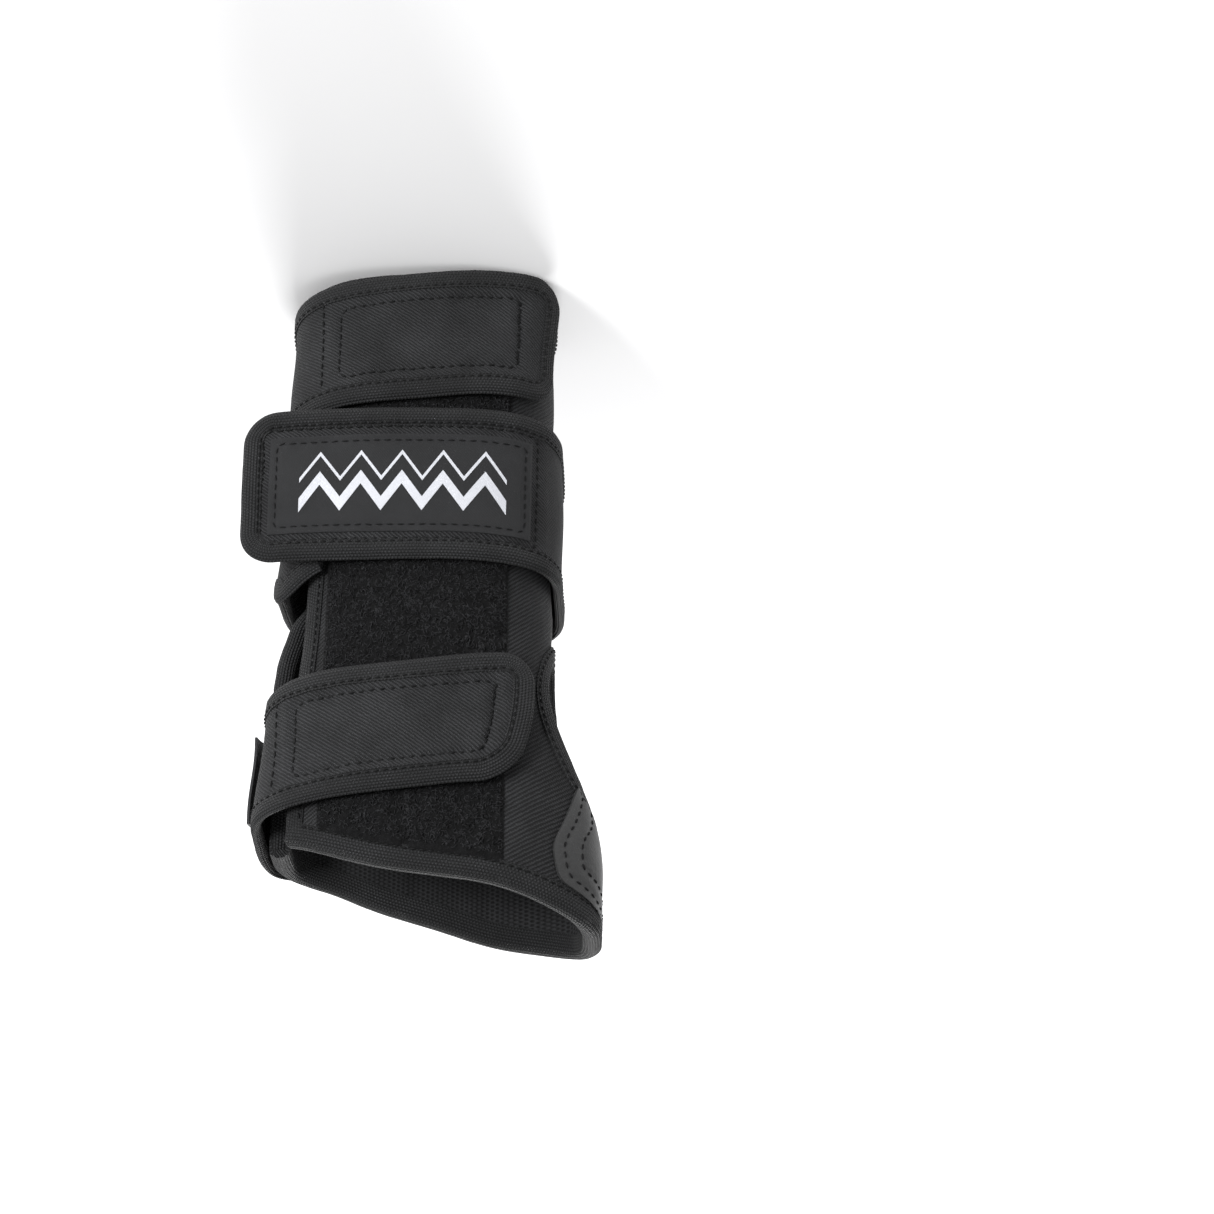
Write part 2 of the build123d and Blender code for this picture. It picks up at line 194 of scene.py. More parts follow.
def slab(name, skin, a, v, lo, hi, keep=None, sharp=40):
    """Closed sheet over a grid of (a, v), from lo to hi along the normals. keep marks the cells that stay."""
    a, v = np.broadcast_arrays(np.asarray(a, float), np.asarray(v, float))
    rows, cols = a.shape
    p, n, _, _ = skin.at(a, v)
    lo, hi = np.broadcast_to(lo, a.shape), np.broadcast_to(hi, a.shape)
    top = (p + n * hi[..., None]).reshape(-1, 3)
    low = (p + n * lo[..., None]).reshape(-1, 3)
    index = np.arange(rows * cols).reshape(rows, cols)
    cells = np.ones((rows - 1, cols - 1), bool) if keep is None else keep
    quad = np.stack([index[:-1, :-1], index[1:, :-1], index[1:, 1:], index[:-1, 1:]], -1)
    i, j = np.argwhere(cells)[len(np.argwhere(cells)) // 2]
    q = top[quad[i, j]]
    facing = np.dot(np.cross(q[1] - q[0], q[2] - q[0]), n[i, j])
    if facing < 0:
        quad = quad[..., ::-1]
    shift = rows * cols
    faces = [*quad[cells], *(quad[cells][:, ::-1] + shift)]
    pad = np.pad(cells, 1)
    sides = (
        (pad[:-2, 1:-1], index[:-1, :-1], index[:-1, 1:]),
        (pad[2:, 1:-1], index[1:, 1:], index[1:, :-1]),
        (pad[1:-1, :-2], index[1:, :-1], index[:-1, :-1]),
        (pad[1:-1, 2:], index[:-1, 1:], index[1:, 1:]),
    )
    for neighbour, one, two in sides:
        open_side = cells & ~neighbour
        wall = np.stack([one[open_side], two[open_side], two[open_side] + shift, one[open_side] + shift], -1)
        faces += list(wall if facing > 0 else wall[:, ::-1])
    uv = np.stack([a, v], -1).reshape(-1, 2)
    return make(name, np.concatenate([top, low]), faces, np.concatenate([uv, uv]), sharp)


def offset_path(skin, path, b, inward=1, closed=False):
    """A path of (a, v) moved b mm inward over the surface."""
    p, n, ea, ev = skin.at(path[:, 0], path[:, 1])
    if closed:
        t = np.roll(p, -1, 0) - np.roll(p, 1, 0)
    else:
        t = np.gradient(p, axis=0)
    t /= np.linalg.norm(t, axis=-1, keepdims=True)
    side = np.cross(n, t) * inward
    aa, av, vv = (ea * ea).sum(-1), (ea * ev).sum(-1), (ev * ev).sum(-1)
    sa, sv = (side * ea).sum(-1), (side * ev).sum(-1)
    det = aa * vv - av * av
    step = np.stack([(sa * vv - sv * av) / det, (sv * aa - sa * av) / det], -1)
    return path + b * step


def even_path(skin, path, pitch, closed=False):
    """The path resampled so that its points are about pitch mm apart."""
    whole = np.concatenate([path, path[:1]]) if closed else path
    p = skin.at(whole[:, 0], whole[:, 1])[0]
    s = np.concatenate([[0], np.cumsum(np.linalg.norm(np.diff(p, axis=0), axis=1))])
    count = max(2, int(round(s[-1] / pitch)) + (0 if closed else 1))
    want = np.linspace(0, s[-1], count, endpoint=not closed)
    return np.stack([np.interp(want, s, whole[:, k]) for k in (0, 1)], -1), s[-1]


def tape(name, skin, path, lo, hi, inward=1, width=TAPE, closed=False, proud=0.75, lift=None):
    """Folded binding round the edge of a sheet that lies between lo and hi, along a path of (a, v)."""
    path, length = even_path(skin, path, 1.3, closed)
    mid, half = (lo + hi) / 2, (hi - lo) / 2
    outer = [(width, 0.05), (width - 0.15, proud * 0.8), (width * 0.62, proud * 1.1)]
    outer += [(width * 0.28, proud * 1.05), (0.6, proud * 0.8), (-0.15, proud * 0.1 - half * 0.25)]
    outer += [(-0.6, -half * 0.62)]
    profile = [(b, hi + h) for b, h in outer] + [(-0.72, mid)]
    profile += [(b, 2 * mid - (hi + h)) for b, h in reversed(outer)]
    count = len(path)
    shake = rng.normal(0, 0.045, (count, len(profile)))
    shake = (shake + np.roll(shake, 1, 0) + np.roll(shake, 2, 0)) / 1.6
    run = np.linspace(0, length, count)
    base = 0 if lift is None else lift(path)
    rings, uvs, across = [], [], 0.0
    for k, (b, h) in enumerate(profile):
        moved = offset_path(skin, path, b, inward, closed)
        p, n, _, _ = skin.at(moved[:, 0], moved[:, 1])
        rings.append(p + n * (h + shake[:, k] + base)[:, None])
        if k:
            across += math.hypot(b - profile[k - 1][0], h - profile[k - 1][1])
        uvs.append(np.stack([run, np.full(count, across)], -1))
    verts = np.stack(rings, 1).reshape(-1, 3)
    uv = np.stack(uvs, 1).reshape(-1, 2)
    m = len(profile)
    i = np.arange(count if closed else count - 1)
    faces = []
    for k in range(m):
        nxt = (k + 1) % m
        a, b = i * m, ((i + 1) % count) * m
        quad = np.stack([a + k, a + nxt, b + nxt, b + k], -1)
        faces += list(quad if inward > 0 else quad[:, ::-1])
    if not closed:
        ends = [np.arange(m), (count - 1) * m + np.arange(m)[::-1]]
        faces += [e[::-1] if inward > 0 else e for e in ends]
    return make(name, verts, faces, uv, sharp=50)


def beads(name, skin, paths, pitch=2.6, length=1.8, radius=0.32, height=0.1, lift=None):
    """Stitches along paths of (a, v), each (points, closed)."""
    ring, along = 6, 5
    verts, faces, offset = [], [], 0
    phi = 2 * np.pi * np.arange(ring)[:, None] / ring
    u = np.linspace(-1, 1, along)
    shape = np.sqrt(np.maximum(1 - u ** 4, 0.02))
    for path, closed in paths:
        path, _ = even_path(skin, np.asarray(path, float), pitch, closed)
        p, n, _, _ = skin.at(path[:, 0], path[:, 1])
        if lift is not None:
            p = p + n * lift(path)[:, None]
        t = np.roll(p, -1, 0) - np.roll(p, 1, 0) if closed else np.gradient(p, axis=0)
        t /= np.linalg.norm(t, axis=-1, keepdims=True)
        b = np.cross(n, t)
        t = t + b * rng.normal(0, 0.06, len(p))[:, None]
        t /= np.linalg.norm(t, axis=-1, keepdims=True)
        b = np.cross(n, t)
        p = p + n * height
        for k in range(len(p) if closed else len(p) - 1):
            for q, w in zip(u, shape):
                ringed = p[k] + t[k] * q * length / 2
                verts.append(ringed + radius * w * (np.cos(phi) * b[k] + np.sin(phi) * n[k]))
            base = offset
            for r in range(along - 1):
                for s in range(ring):
                    s2 = (s + 1) % ring
                    o = base + r * ring
                    faces.append([o + s, o + s2, o + ring + s2, o + ring + s])
            faces.append([base + s for s in range(ring)][::-1])
            faces.append([base + (along - 1) * ring + s for s in range(ring)])
            offset += ring * along
    verts = np.concatenate(verts)
    uv = np.zeros((len(verts), 2))
    return make(name, verts, faces, uv, sharp=0)


def rounded_end(a_start, a_end, low, high, radius, step=1.0):
    """Edge of a strap from its root, round its free end and back: (a, v) points."""
    way = 1 if a_end > a_start else -1
    turn = np.radians(np.linspace(-90, 0, 12))
    corner_a = a_end - way * radius + way * radius * np.cos(turn)
    count = max(2, int(abs(a_end - a_start) / step))
    bottom = np.stack([np.linspace(a_start, a_end - way * radius, count), np.full(count, low)], -1)
    first = np.stack([corner_a, low + radius + radius * np.sin(turn)], -1)
    second = np.stack([corner_a[::-1], high - radius - radius * np.sin(turn[::-1])], -1)
    top = np.stack([bottom[::-1, 0], np.full(count, high)], -1)
    return np.concatenate([bottom, first[1:], second, top[1:]])


def strap_grid(a_start, a_end, low, high, radius, inset, step=1.3):
    """Grid of (a, v) filling a strap with a rounded free end, inset from its edge."""
    way = 1 if a_end > a_start else -1
    lo, hi, r = low + inset, high - inset, max(radius - inset, 0.5)
    v = np.linspace(lo, hi, int((hi - lo) / step) + 2)
    near = np.clip(np.maximum(lo + r - v, v - (hi - r)), 0, r)
    end = a_end - way * (inset + r) + way * np.sqrt(np.maximum(r * r - near * near, 0))
    t = np.linspace(0, 1, int(abs(a_end - a_start) / step) + 2)
    a = a_start + (end[:, None] - a_start) * t[None, :]
    return a, np.broadcast_to(v[:, None], a.shape)


# ---- materials


class Graph:
    """Short forms for building a material's nodes."""

    def __init__(self, name, **uniform):
        self.mat = bpy.data.materials.new(name)
        self.mat.use_nodes = True
        self.nodes, self.links = self.mat.node_tree.nodes, self.mat.node_tree.links
        self.shader = self.nodes["Principled BSDF"]
        for key, value in uniform.items():
            self.shader.inputs[key.replace("_", " ")].default_value = value

    def add(self, kind, values=(), **props):
        node = self.nodes.new(kind)
        for key, value in props.items():
            setattr(node, key, value)
        for key, value in dict(values).items():
            if hasattr(value, "is_output") or hasattr(value, "links"):
                self.links.new(value, node.inputs[key])
            else:
                node.inputs[key].default_value = value
        return node

    def math(self, op, *args):
        return self.add("ShaderNodeMath", enumerate(args), operation=op).outputs[0]

    def plus(self, a, b):
        return self.math("ADD", a, b)

    def times(self, a, b):
        return self.math("MULTIPLY", a, b)

    def scaled(self, a, by, plus):
        return self.math("MULTIPLY_ADD", a, by, plus)

    def uv(self):
        """The distances along the two directions of the cloth."""
        parts = self.add("ShaderNodeSeparateXYZ", {0: self.add("ShaderNodeUVMap", uv_map="UVMap").outputs[0]})
        return parts.outputs[0], parts.outputs[1]

    def noise(self, scale, detail=3.0, rough=0.5, vector=None, distort=0.0):
        vector = vector or self.add("ShaderNodeTexCoord").outputs["Object"]
        inputs = {"Vector": vector, "Scale": scale, "Detail": detail, "Roughness": rough}
        return self.add("ShaderNodeTexNoise", {**inputs, "Distortion": distort}).outputs["Fac"]

    def wave(self, value, pitch):
        """sin of value over pitch."""
        return self.math("SINE", self.scaled(value, 2 * math.pi / pitch, 0.0))

    def ramp(self, fac, stops):
        node = self.add("ShaderNodeValToRGB", {0: fac})
        elements = node.color_ramp.elements
        while len(elements) < len(stops):
            elements.new(0.5)
        for element, (pos, colour) in zip(elements, stops):
            element.position, element.color = pos, (*colour, 1)
        return node.outputs[0]

    def greys(self, fac, *stops):
        """A ramp of greys, each stop (position, grey)."""
        return self.ramp(fac, [(pos, grey(value)) for pos, value in stops])

    def spread(self, fac, low, high, start=0.0, end=1.0):
        inputs = {0: fac, 1: start, 2: end, 3: low, 4: high}
        return self.add("ShaderNodeMapRange", inputs).outputs[0]

    def bump(self, height, distance, strength=1.0, under=None):
        values = {"Height": height, "Distance": distance, "Strength": strength}
        if under is not None:
            values["Normal"] = under
        return self.add("ShaderNodeBump", values).outputs[0]

    def finish(self, colour=None, rough=None, normal=None):
        for key, value in (("Base Color", colour), ("Roughness", rough), ("Normal", normal)):
            if value is not None:
                self.links.new(value, self.shader.inputs[key])
        return self.mat


BLUISH, NEUTRAL = (1.0, 1.02, 1.09), (1, 1.01, 1.02)


def grey(value, tint=BLUISH):
    """A grey with a slight tint."""
    return tuple(value * t for t in tint)


def twill(name, dark, light, pitch, turn=1.0):
    """Diagonal twill nylon: ribs at an angle, thread across them, a little fuzz and dust."""
    g = Graph(name, Sheen_Weight=0.03, Sheen_Roughness=0.4, Specular_IOR_Level=0.22)
    u, v = g.uv()
    diagonal = g.plus(g.times(u, 0.62 * turn), g.times(v, 0.78))
    along = g.plus(g.times(u, 0.78 * turn), g.times(v, -0.62))
    waver = g.scaled(g.noise(900, 2), 0.0006, diagonal)
    rib = g.wave(waver, pitch)
    thread = g.wave(g.scaled(rib, 0.0001, along), pitch * 0.6)
    height = g.plus(g.times(rib, 0.5), g.times(thread, 0.22))
    patchy = g.noise(55, 5, 0.6)
    fuzz = g.noise(2600, 2)
    tone = g.plus(g.scaled(height, 0.5, 0.38), g.times(fuzz, 0.28))
    tone = g.plus(tone, g.spread(patchy, -0.16, 0.16, 0.3, 0.7))
    colour = g.greys(tone, (0.05, dark * 0.2), (0.45, dark), (1.0, light))
    rough = g.spread(fuzz, 0.66, 0.86)
    normal = g.bump(g.scaled(fuzz, 0.35, height), 0.00022, 0.9)
    return g.finish(colour, rough, normal)


def ribbed(name, dark, light):
    """Binding tape: rows of small cross ribs along its length."""
    g = Graph(name, Sheen_Weight=0.03, Sheen_Roughness=0.4, Specular_IOR_Level=0.22)
    u, v = g.uv()
    row = g.wave(v, 0.0019)
    shift = g.times(g.math("SIGN", row), 0.0003)
    rib = g.wave(g.plus(u, shift), 0.00105)
    height = g.plus(g.times(g.math("ABSOLUTE", row), 0.85), g.times(rib, 0.3))
    fuzz, patchy = g.noise(2400, 2), g.noise(60, 4)
    tone = g.plus(g.scaled(height, 0.42, 0.05), g.times(fuzz, 0.3))
    tone = g.plus(tone, g.spread(patchy, -0.12, 0.12, 0.3, 0.7))
    colour = g.greys(tone, (0.05, dark * 0.5), (0.5, dark), (1.0, light))
    normal = g.bump(g.scaled(fuzz, 0.3, height), 0.0005, 1.0)
    return g.finish(colour, g.spread(fuzz, 0.62, 0.84), normal)


def pile(name, dark, light):
    """Short curled pile, matt and uneven."""
    g = Graph(name, Sheen_Weight=0.02, Sheen_Roughness=0.5, Specular_IOR_Level=0.12)
    fine, clump = g.noise(1500, 4, 0.7), g.noise(330, 3, 0.6)
    tone = g.times(fine, clump)
    colour = g.greys(tone, (0.12, dark), (0.42, light))
    return g.finish(colour, g.spread(fine, 0.75, 0.98), g.bump(tone, 0.0011, 1.0))


def leather(name, dark, light, rough=(0.42, 0.6)):
    """Grained synthetic leather with faint creases and rubbed patches."""
    g = Graph(name, Specular_IOR_Level=0.35, Coat_Weight=0.03, Coat_Roughness=0.45)
    where = g.add("ShaderNodeTexCoord").outputs["Object"]
    cells = g.add("ShaderNodeTexVoronoi", {"Vector": where, "Scale": 1500.0, "Randomness": 1.0})
    cell = cells.outputs["Distance"]
    grain, crease = g.noise(900, 4, 0.6), g.noise(120, 4, 0.65, distort=0.8)
    rubbed = g.noise(38, 5, 0.6)
    tone = g.plus(g.times(grain, 0.5), g.times(rubbed, 0.6))
    colour = g.ramp(tone, ((0.3, grey(dark, NEUTRAL)), (0.75, grey(light, NEUTRAL))))
    height = g.plus(g.times(cell, 0.6), g.times(grain, 0.8))
    normal = g.bump(crease, 0.0006, 0.35, g.bump(height, 0.00012, 0.7))
    return g.finish(colour, g.spread(rubbed, rough[0], rough[1], 0.3, 0.7), normal)


def mesh_knit(name, dark, light):
    """Knitted spacer mesh: rows of small round holes."""
    g = Graph(name, Sheen_Weight=0.04, Sheen_Roughness=0.5, Specular_IOR_Level=0.2)
    u, v = g.uv()
    a, b = g.wave(u, 0.0015), g.wave(g.scaled(u, 0.5, v), 0.0013)
    c = g.wave(g.scaled(u, -0.5, v), 0.0013)
    hole = g.times(g.plus(g.plus(a, b), c), 0.33)
    fuzz, patchy = g.noise(2200, 3), g.noise(70, 4)
    tone = g.plus(g.spread(hole, 0.75, 0.0, -0.4, 0.6), g.scaled(fuzz, 0.4, -0.12))
    tone = g.plus(tone, g.spread(patchy, -0.1, 0.1, 0.3, 0.7))
    colour = g.greys(tone, (0.1, dark), (0.9, light))
    return g.finish(colour, g.spread(fuzz, 0.7, 0.9), g.bump(tone, 0.0004, 0.8))


def glossy(name):
    """Polished moulded plastic with hairline scratches and a few smears."""
    g = Graph(name, Specular_IOR_Level=0.4, Coat_Weight=0.1, Coat_Roughness=0.3)
    u, v = g.uv()
    wide = g.add("ShaderNodeCombineXYZ", {0: g.times(u, 1.0), 1: g.times(v, 0.03)})
    lines = g.noise(3000, 3, 0.6, wide.outputs[0])
    smear, flow = g.noise(70, 5, 0.65), g.noise(25, 3)
    rough = g.plus(g.spread(smear, 0.27, 0.4, 0.3, 0.75), g.spread(lines, 0.0, 0.1, 0.62, 0.75))
    colour = g.ramp(smear, ((0.3, (0.006, 0.006, 0.0065)), (0.8, (0.014, 0.014, 0.015))))
    normal = g.bump(flow, 0.0015, 0.12, g.bump(lines, 0.00002, 0.25))
    return g.finish(colour, rough, normal)


def satin(name, dark, light):
    """Close satin weave of a woven label."""
    pitch = 0.0005
    g = Graph(name, Sheen_Weight=0.02, Specular_IOR_Level=0.2)
    u, v = g.uv()
    height = g.times(g.wave(u, pitch), g.wave(v, pitch))
    fuzz, patchy = g.noise(2500, 2), g.noise(80, 4)
    tone = g.plus(g.scaled(height, 0.15, 0.25), g.times(fuzz, 0.3))
    tone = g.plus(tone, g.spread(patchy, -0.1, 0.1, 0.3, 0.7))
    colour = g.greys(tone, (0.1, dark), (0.9, light))
    return g.finish(colour, g.spread(fuzz, 0.5, 0.7), g.bump(height, 0.00012, 0.7))


def plain(name, dark, light, gloss, scale, rough, strength):
    """Mottled thread or plastic without a weave."""
    g = Graph(name, Specular_IOR_Level=gloss)
    fine = g.noise(*scale)
    colour = g.greys(fine, (0.3, dark), (0.7, light))
    return g.finish(colour, g.spread(fine, *rough), g.bump(fine, 0.0001, strength))


TWILL = twill("twill nylon", 0.0082, 0.0315, 0.0009)
TWILL_CROSS = twill("twill nylon turned", 0.006, 0.027, 0.0011, turn=-1.0)
RIBBED = ribbed("ribbed tape", 0.01, 0.041)
# Painted shade: the loop panel's base is near black, darker than its own yarn, standing for the shade between
# the loops.
LOOP_BASE_PAINTED_SHADE = pile("loop pile", 0.0005, 0.007)
# Painted glints: the curls are the same yarn in a lighter tone, and its light end stands for glints on the
# loops.
LOOP_CURLS_PAINTED_GLINTS = pile("loop yarn with painted glints", 0.004, 0.038)
HOOKS = pile("hook pile", 0.002, 0.016)
LEATHER = leather("synthetic leather", 0.016, 0.031)
LEATHER_BACK = leather("leather backing", 0.012, 0.024, (0.7, 0.9))
KNIT = mesh_knit("knitted mesh", 0.002, 0.017)
GLOSSY = glossy("glossy plastic")
THREAD = plain("dark thread", 0.0012, 0.005, 0.15, (2500, 2), (0.5, 0.75), 0.8)
PATCH = satin("woven patch", 0.009, 0.024)
PALE = satin("pale woven thread", 0.42, 0.72)
STAY = plain("stay plastic", 0.03 * 0.8, 0.03 * 1.2, 0.4, (700, 3), (0.45, 0.65), 0.5)


def dress(obj, material, body="sleeve", replaces=()):
    """Gives a piece its material, the nodes it replaces and its body, if it rides on one."""
    obj.data.materials.append(material)
    if replaces:
        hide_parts(*replaces)
    if body:
        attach(obj, body)
    return obj


# ---- sleeve wall

sleeve = Skin()
A_MAX = sleeve.a[-1]
ROUND = A_MAX - sleeve.a[0]


def cut_at(x, y):
    """Height of the hand end's cut over (x, y): a slant with a slight wave on each face."""
    def hump(centre, width):
        return np.exp(-((x - centre) / width) ** 2)

    back = smooth(-y, 4, 20) * (2.4 * hump(18, 24) - 1.6 * hump(-25, 17))
    palm = smooth(y, 4, 20) * (1.2 * hump(-20, 14) - 1.6 * hump(30, 12))
    return HAND_MID - HAND_SLOPE * x + back + palm


def cut_z(a):
    """Height of the hand end's cut at distance a round the sleeve, or once more round it."""
    a = np.where(a > A_MAX, a - ROUND, a)
    z = np.full(np.shape(a), 200.0)
    for _ in range(6):
        p = sleeve.raw(a, z)
        z = cut_at(p[..., 0], p[..., 1])
    return z


def a_on_line(z, low, high, value):
    """Distance round where value(point) crosses zero, between low and high, for each height z."""
    a = np.linspace(low, high, 400)
    out = []
    for height in np.atleast_1d(z):
        f = value(sleeve.raw(a, np.full(400, float(height))))
        out.append(a[int(np.argmin(np.abs(f)))])
    return np.array(out)


def fit_line(low, high, value):
    """The same as a smooth function of height."""
    z = np.linspace(0, 235, 24)
    table = a_on_line(z, low, high, value)
    curve = np.polyfit(z, table, 6)
    return lambda height: np.polyval(curve, height)


(SX0, SY0), (SX1, SY1) = SLIT_LINE
a_side = np.interp(0.0, sleeve.theta, sleeve.a)
a_thumb = np.interp(-np.pi, sleeve.theta, sleeve.a)
slit_back = fit_line(20, a_side, lambda p: (p[:, 1] - SY0) * (SX1 - SX0) - (p[:, 0] - SX0) * (SY1 - SY0))
slit_palm = fit_line(a_side - 12, a_side + 12, lambda p: p[:, 1] - SLIT_PALM_Y)
seam = fit_line(a_thumb - 25, a_thumb + 5, lambda p: p[:, 1] - SEAM_Y)


def wall_grid(left, right, step=2.0):
    """Grid between two edge lines, from the cuff to the hand end's cut, inside the tapes."""
    inset = 2.0
    rows = int(215 / step)
    cols = int(abs(float(right(100)) - float(left(100))) / step)
    t = np.linspace(0, 1, rows)[:, None]
    f = np.linspace(0, 1, cols)[None, :]
    z = np.full((rows, cols), 100.0)
    for _ in range(4):
        a = left(z) + (right(z) - left(z)) * f
        top = cut_z(a[-1]) - inset
        z = inset + (top[None, :] - inset) * t
    return a, z


def hole_keep(a, z, grow):
    """Cells whose centre lies outside the thumb hole widened by grow."""
    ca = (a[:-1, :-1] + a[1:, 1:]) / 2
    cz = (z[:-1, :-1] + z[1:, 1:]) / 2
    p = whole.raw(ca, cz)
    inside = (p[..., 1] / (HOLE_HALF_Y + grow)) ** 2 + ((cz - HOLE_Z) / (HOLE_HALF_Z + grow)) ** 2 < 1
    return ~(inside & (p[..., 0] < HOLE_X))


def quilt(a, pitch, depth):
    """Grooves every pitch mm round."""
    near = np.abs((a / pitch + 0.5) % 1 - 0.5) * pitch
    return -depth * np.exp(-(near / 1.4) ** 2)


back_a, back_z = wall_grid(lambda z: seam(z) + 0.15, lambda z: slit_back(z) - 2)


class RoundPalm(Skin):
    """The same skin with a counted on past the palm, so that the palm panel is one run."""

    def raw(self, a, v):
        over = a > self.a[-1]
        return super().raw(np.where(over, a - (self.a[-1] - self.a[0]), a), v)


whole = RoundPalm()


def side_pinch(a, v, p):
    """The palm panel's slit edge draws in under the wrap strap and stands out before the hand strap."""
    x, y, z = p[..., 0], p[..., 1], p[..., 2]
    near = smooth(x, 24, 38) * smooth(-y, -16, -2) * smooth(y, -12, -4)
    out = 4.2 * smooth(z, 103, 126) * (1 - smooth(z, 131, 145))
    drawn_in = 3.6 * smooth(z, 84, 98) * (1 - smooth(z, 102, 112))
    return near * (out - drawn_in)


whole.sag = side_pinch


def soft_face(a, z, edge):
    """Face fabric height: pulled in at the seam, drawn into small puckers near it."""
    dist = np.abs(a - edge(z))
    dip = -0.7 * np.exp(-(dist / 1.6) ** 2)
    pucker = 0.16 * np.sin(z / 1.9 + 0.7 * np.sin(z / 7.0)) * np.exp(-dist / 5.0)
    folds = 0.22 * np.sin(z / 5.3 + a / 9.0 + 1.2 * np.sin(a / 17.0)) * np.exp(-dist / 22.0)
    return dip + pucker + folds


def billow(obj, free, cap, pressure):
    """Swells a padded shell's face between its seams by cloth simulation, moving no point over cap mm."""
    mesh, scene = obj.data, bpy.context.scene
    count = len(mesh.vertices)
    index, uv = np.empty(len(mesh.loops), int), np.empty(2 * len(mesh.loops))
    mesh.loops.foreach_get("vertex_index", index)
    mesh.uv_layers[0].data.foreach_get("uv", uv)
    place = np.zeros((count, 2))
    place[index] = uv.reshape(-1, 2) / MM
    rest = np.empty(3 * count)
    mesh.vertices.foreach_get("co", rest)
    rest = rest.reshape(-1, 3)
    loose = free(place[:, 0], place[:, 1], rest / MM)
    loose[count // 2:] = 0
    held = obj.vertex_groups.new(name="held")
    for i, weight in enumerate(1 - loose):
        held.add([i], float(weight), "REPLACE")
    cloth = obj.modifiers.new("Cloth", "CLOTH")
    settings = cloth.settings
    settings.quality, settings.mass, settings.air_damping = 5, 0.004, 1.0
    settings.tension_stiffness = settings.compression_stiffness = 3.0
    settings.shear_stiffness, settings.bending_stiffness = 1.0, 0.02
    settings.use_pressure, settings.uniform_pressure_force = True, pressure
    settings.vertex_group_mass, settings.pin_stiffness = "held", 5.0
    settings.effector_weights.gravity = 0.0
    for step in range(1, 21):
        scene.frame_set(step)
    shaped = obj.evaluated_get(bpy.context.evaluated_depsgraph_get())
    moved = np.empty(3 * count)
    shaped.data.vertices.foreach_get("co", moved)
    shift = moved.reshape(-1, 3) - rest
    size = np.linalg.norm(shift, axis=1, keepdims=True)
    shift *= np.minimum(1, cap * MM / np.maximum(size, 1e-9)) * np.minimum(1, 3 * loose)[:, None]
    obj.modifiers.remove(cloth)
    obj.vertex_groups.remove(held)
    scene.frame_set(1)
    mesh.vertices.foreach_set("co", (rest + shift).ravel())
    mesh.update()


def away(value, low, high):
    """1 outside the range low to high, easing to 0 inside it."""
    return np.clip(np.maximum(low - value, value - high) / 4.0, 0, 1)


def wall_free(a, z, p, low, high, panel):
    """Where a wall's face can swell: from low to high, clear of its tapes, the thumb hole and its panel."""
    hole = np.hypot(p[:, 1] / (HOLE_HALF_Y + 7), (z - HOLE_Z) / (HOLE_HALF_Z + 7)) + 9.0 * (p[:, 0] > HOLE_X)
    ends = np.minimum(np.clip((z - 7) / 4, 0, 1), np.clip((cut_z(a) - 7 - z) / 4, 0, 1))
    sides = np.minimum(np.clip((a - low) / 4, 0, 1), np.clip((high - a) / 4, 0, 1))
    return np.minimum.reduce([ends, sides, panel, np.clip((hole - 1) * 5, 0, 1)])


def back_free(a, z, p):
    """The back's face, beside the loop panel."""
    return wall_free(a, z, p, seam(z) + 0.5, slit_back(z) - 7, away(p[:, 0], -25.0, 30.5))


def palm_free(a, z, p):
    """The palm's face, beside the leather."""
    panel = np.maximum(away(p[:, 0], -34.0, 39.0), (p[:, 1] < 15) * 1.0)
    return wall_free(a, z, p, slit_palm(z) + 7, seam(z) + ROUND - 0.5, panel)


back_shell = slab(
    "back_shell", sleeve, back_a, back_z, PADDING_LO, soft_face(back_a, back_z, seam),
    hole_keep(back_a, back_z, HOLE_MARGIN),
)
dress(back_shell, TWILL_CROSS, replaces=("back_face_fabric", "back_foam"))
billow(back_shell, back_free, 0.9, 70.0)

pa, pz = wall_grid(lambda z: slit_palm(z) + 2, lambda z: seam(z) - 0.15 + ROUND)
palm_shell = slab(
    "palm_shell", whole, pa, pz, PADDING_LO, soft_face(pa, pz, lambda z: seam(z) + ROUND),
    hole_keep(pa, pz, HOLE_MARGIN),
)
dress(palm_shell, TWILL, replaces=("palm_face_fabric", "palm_foam"))
billow(palm_shell, palm_free, 0.9, 160.0)

la, lz = wall_grid(lambda z: slit_palm(z) + 2, lambda z: slit_back(z) - 2 + ROUND, step=1.8)
lining = slab(
    "mesh_lining", whole, la, lz, -4.5 - quilt(la, 22.0, 0.55), PADDING_LO, hole_keep(la, lz, HOLE_MARGIN)
)
dress(lining, KNIT, replaces=("mesh_lining",))

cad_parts["back_stay"].data.materials.clear()
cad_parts["back_stay"].data.materials.append(STAY)

# ---- edge tapes

WALL_LO, WALL_HI = -4.4, 0.0


def line_path(edge):
    """The slit's edge as (a, z), up to the hand end's cut."""
    z = np.linspace(1.5, 230, 180)
    a = edge(z)
    keep = z < cut_z(a) - 1.5
    return np.stack([a[keep], z[keep]], -1)


rim_a = np.linspace(float(slit_palm(3)), float(slit_back(3)) + ROUND, 240)
cuff_path = np.stack([rim_a, np.full(240, 0.75)], -1)
hand_a = np.linspace(float(slit_palm(190)), float(slit_back(190)) + ROUND, 300)
hand_path = np.stack([hand_a, cut_z(hand_a) - 0.6], -1)
back_line, palm_line = line_path(slit_back), line_path(slit_palm)


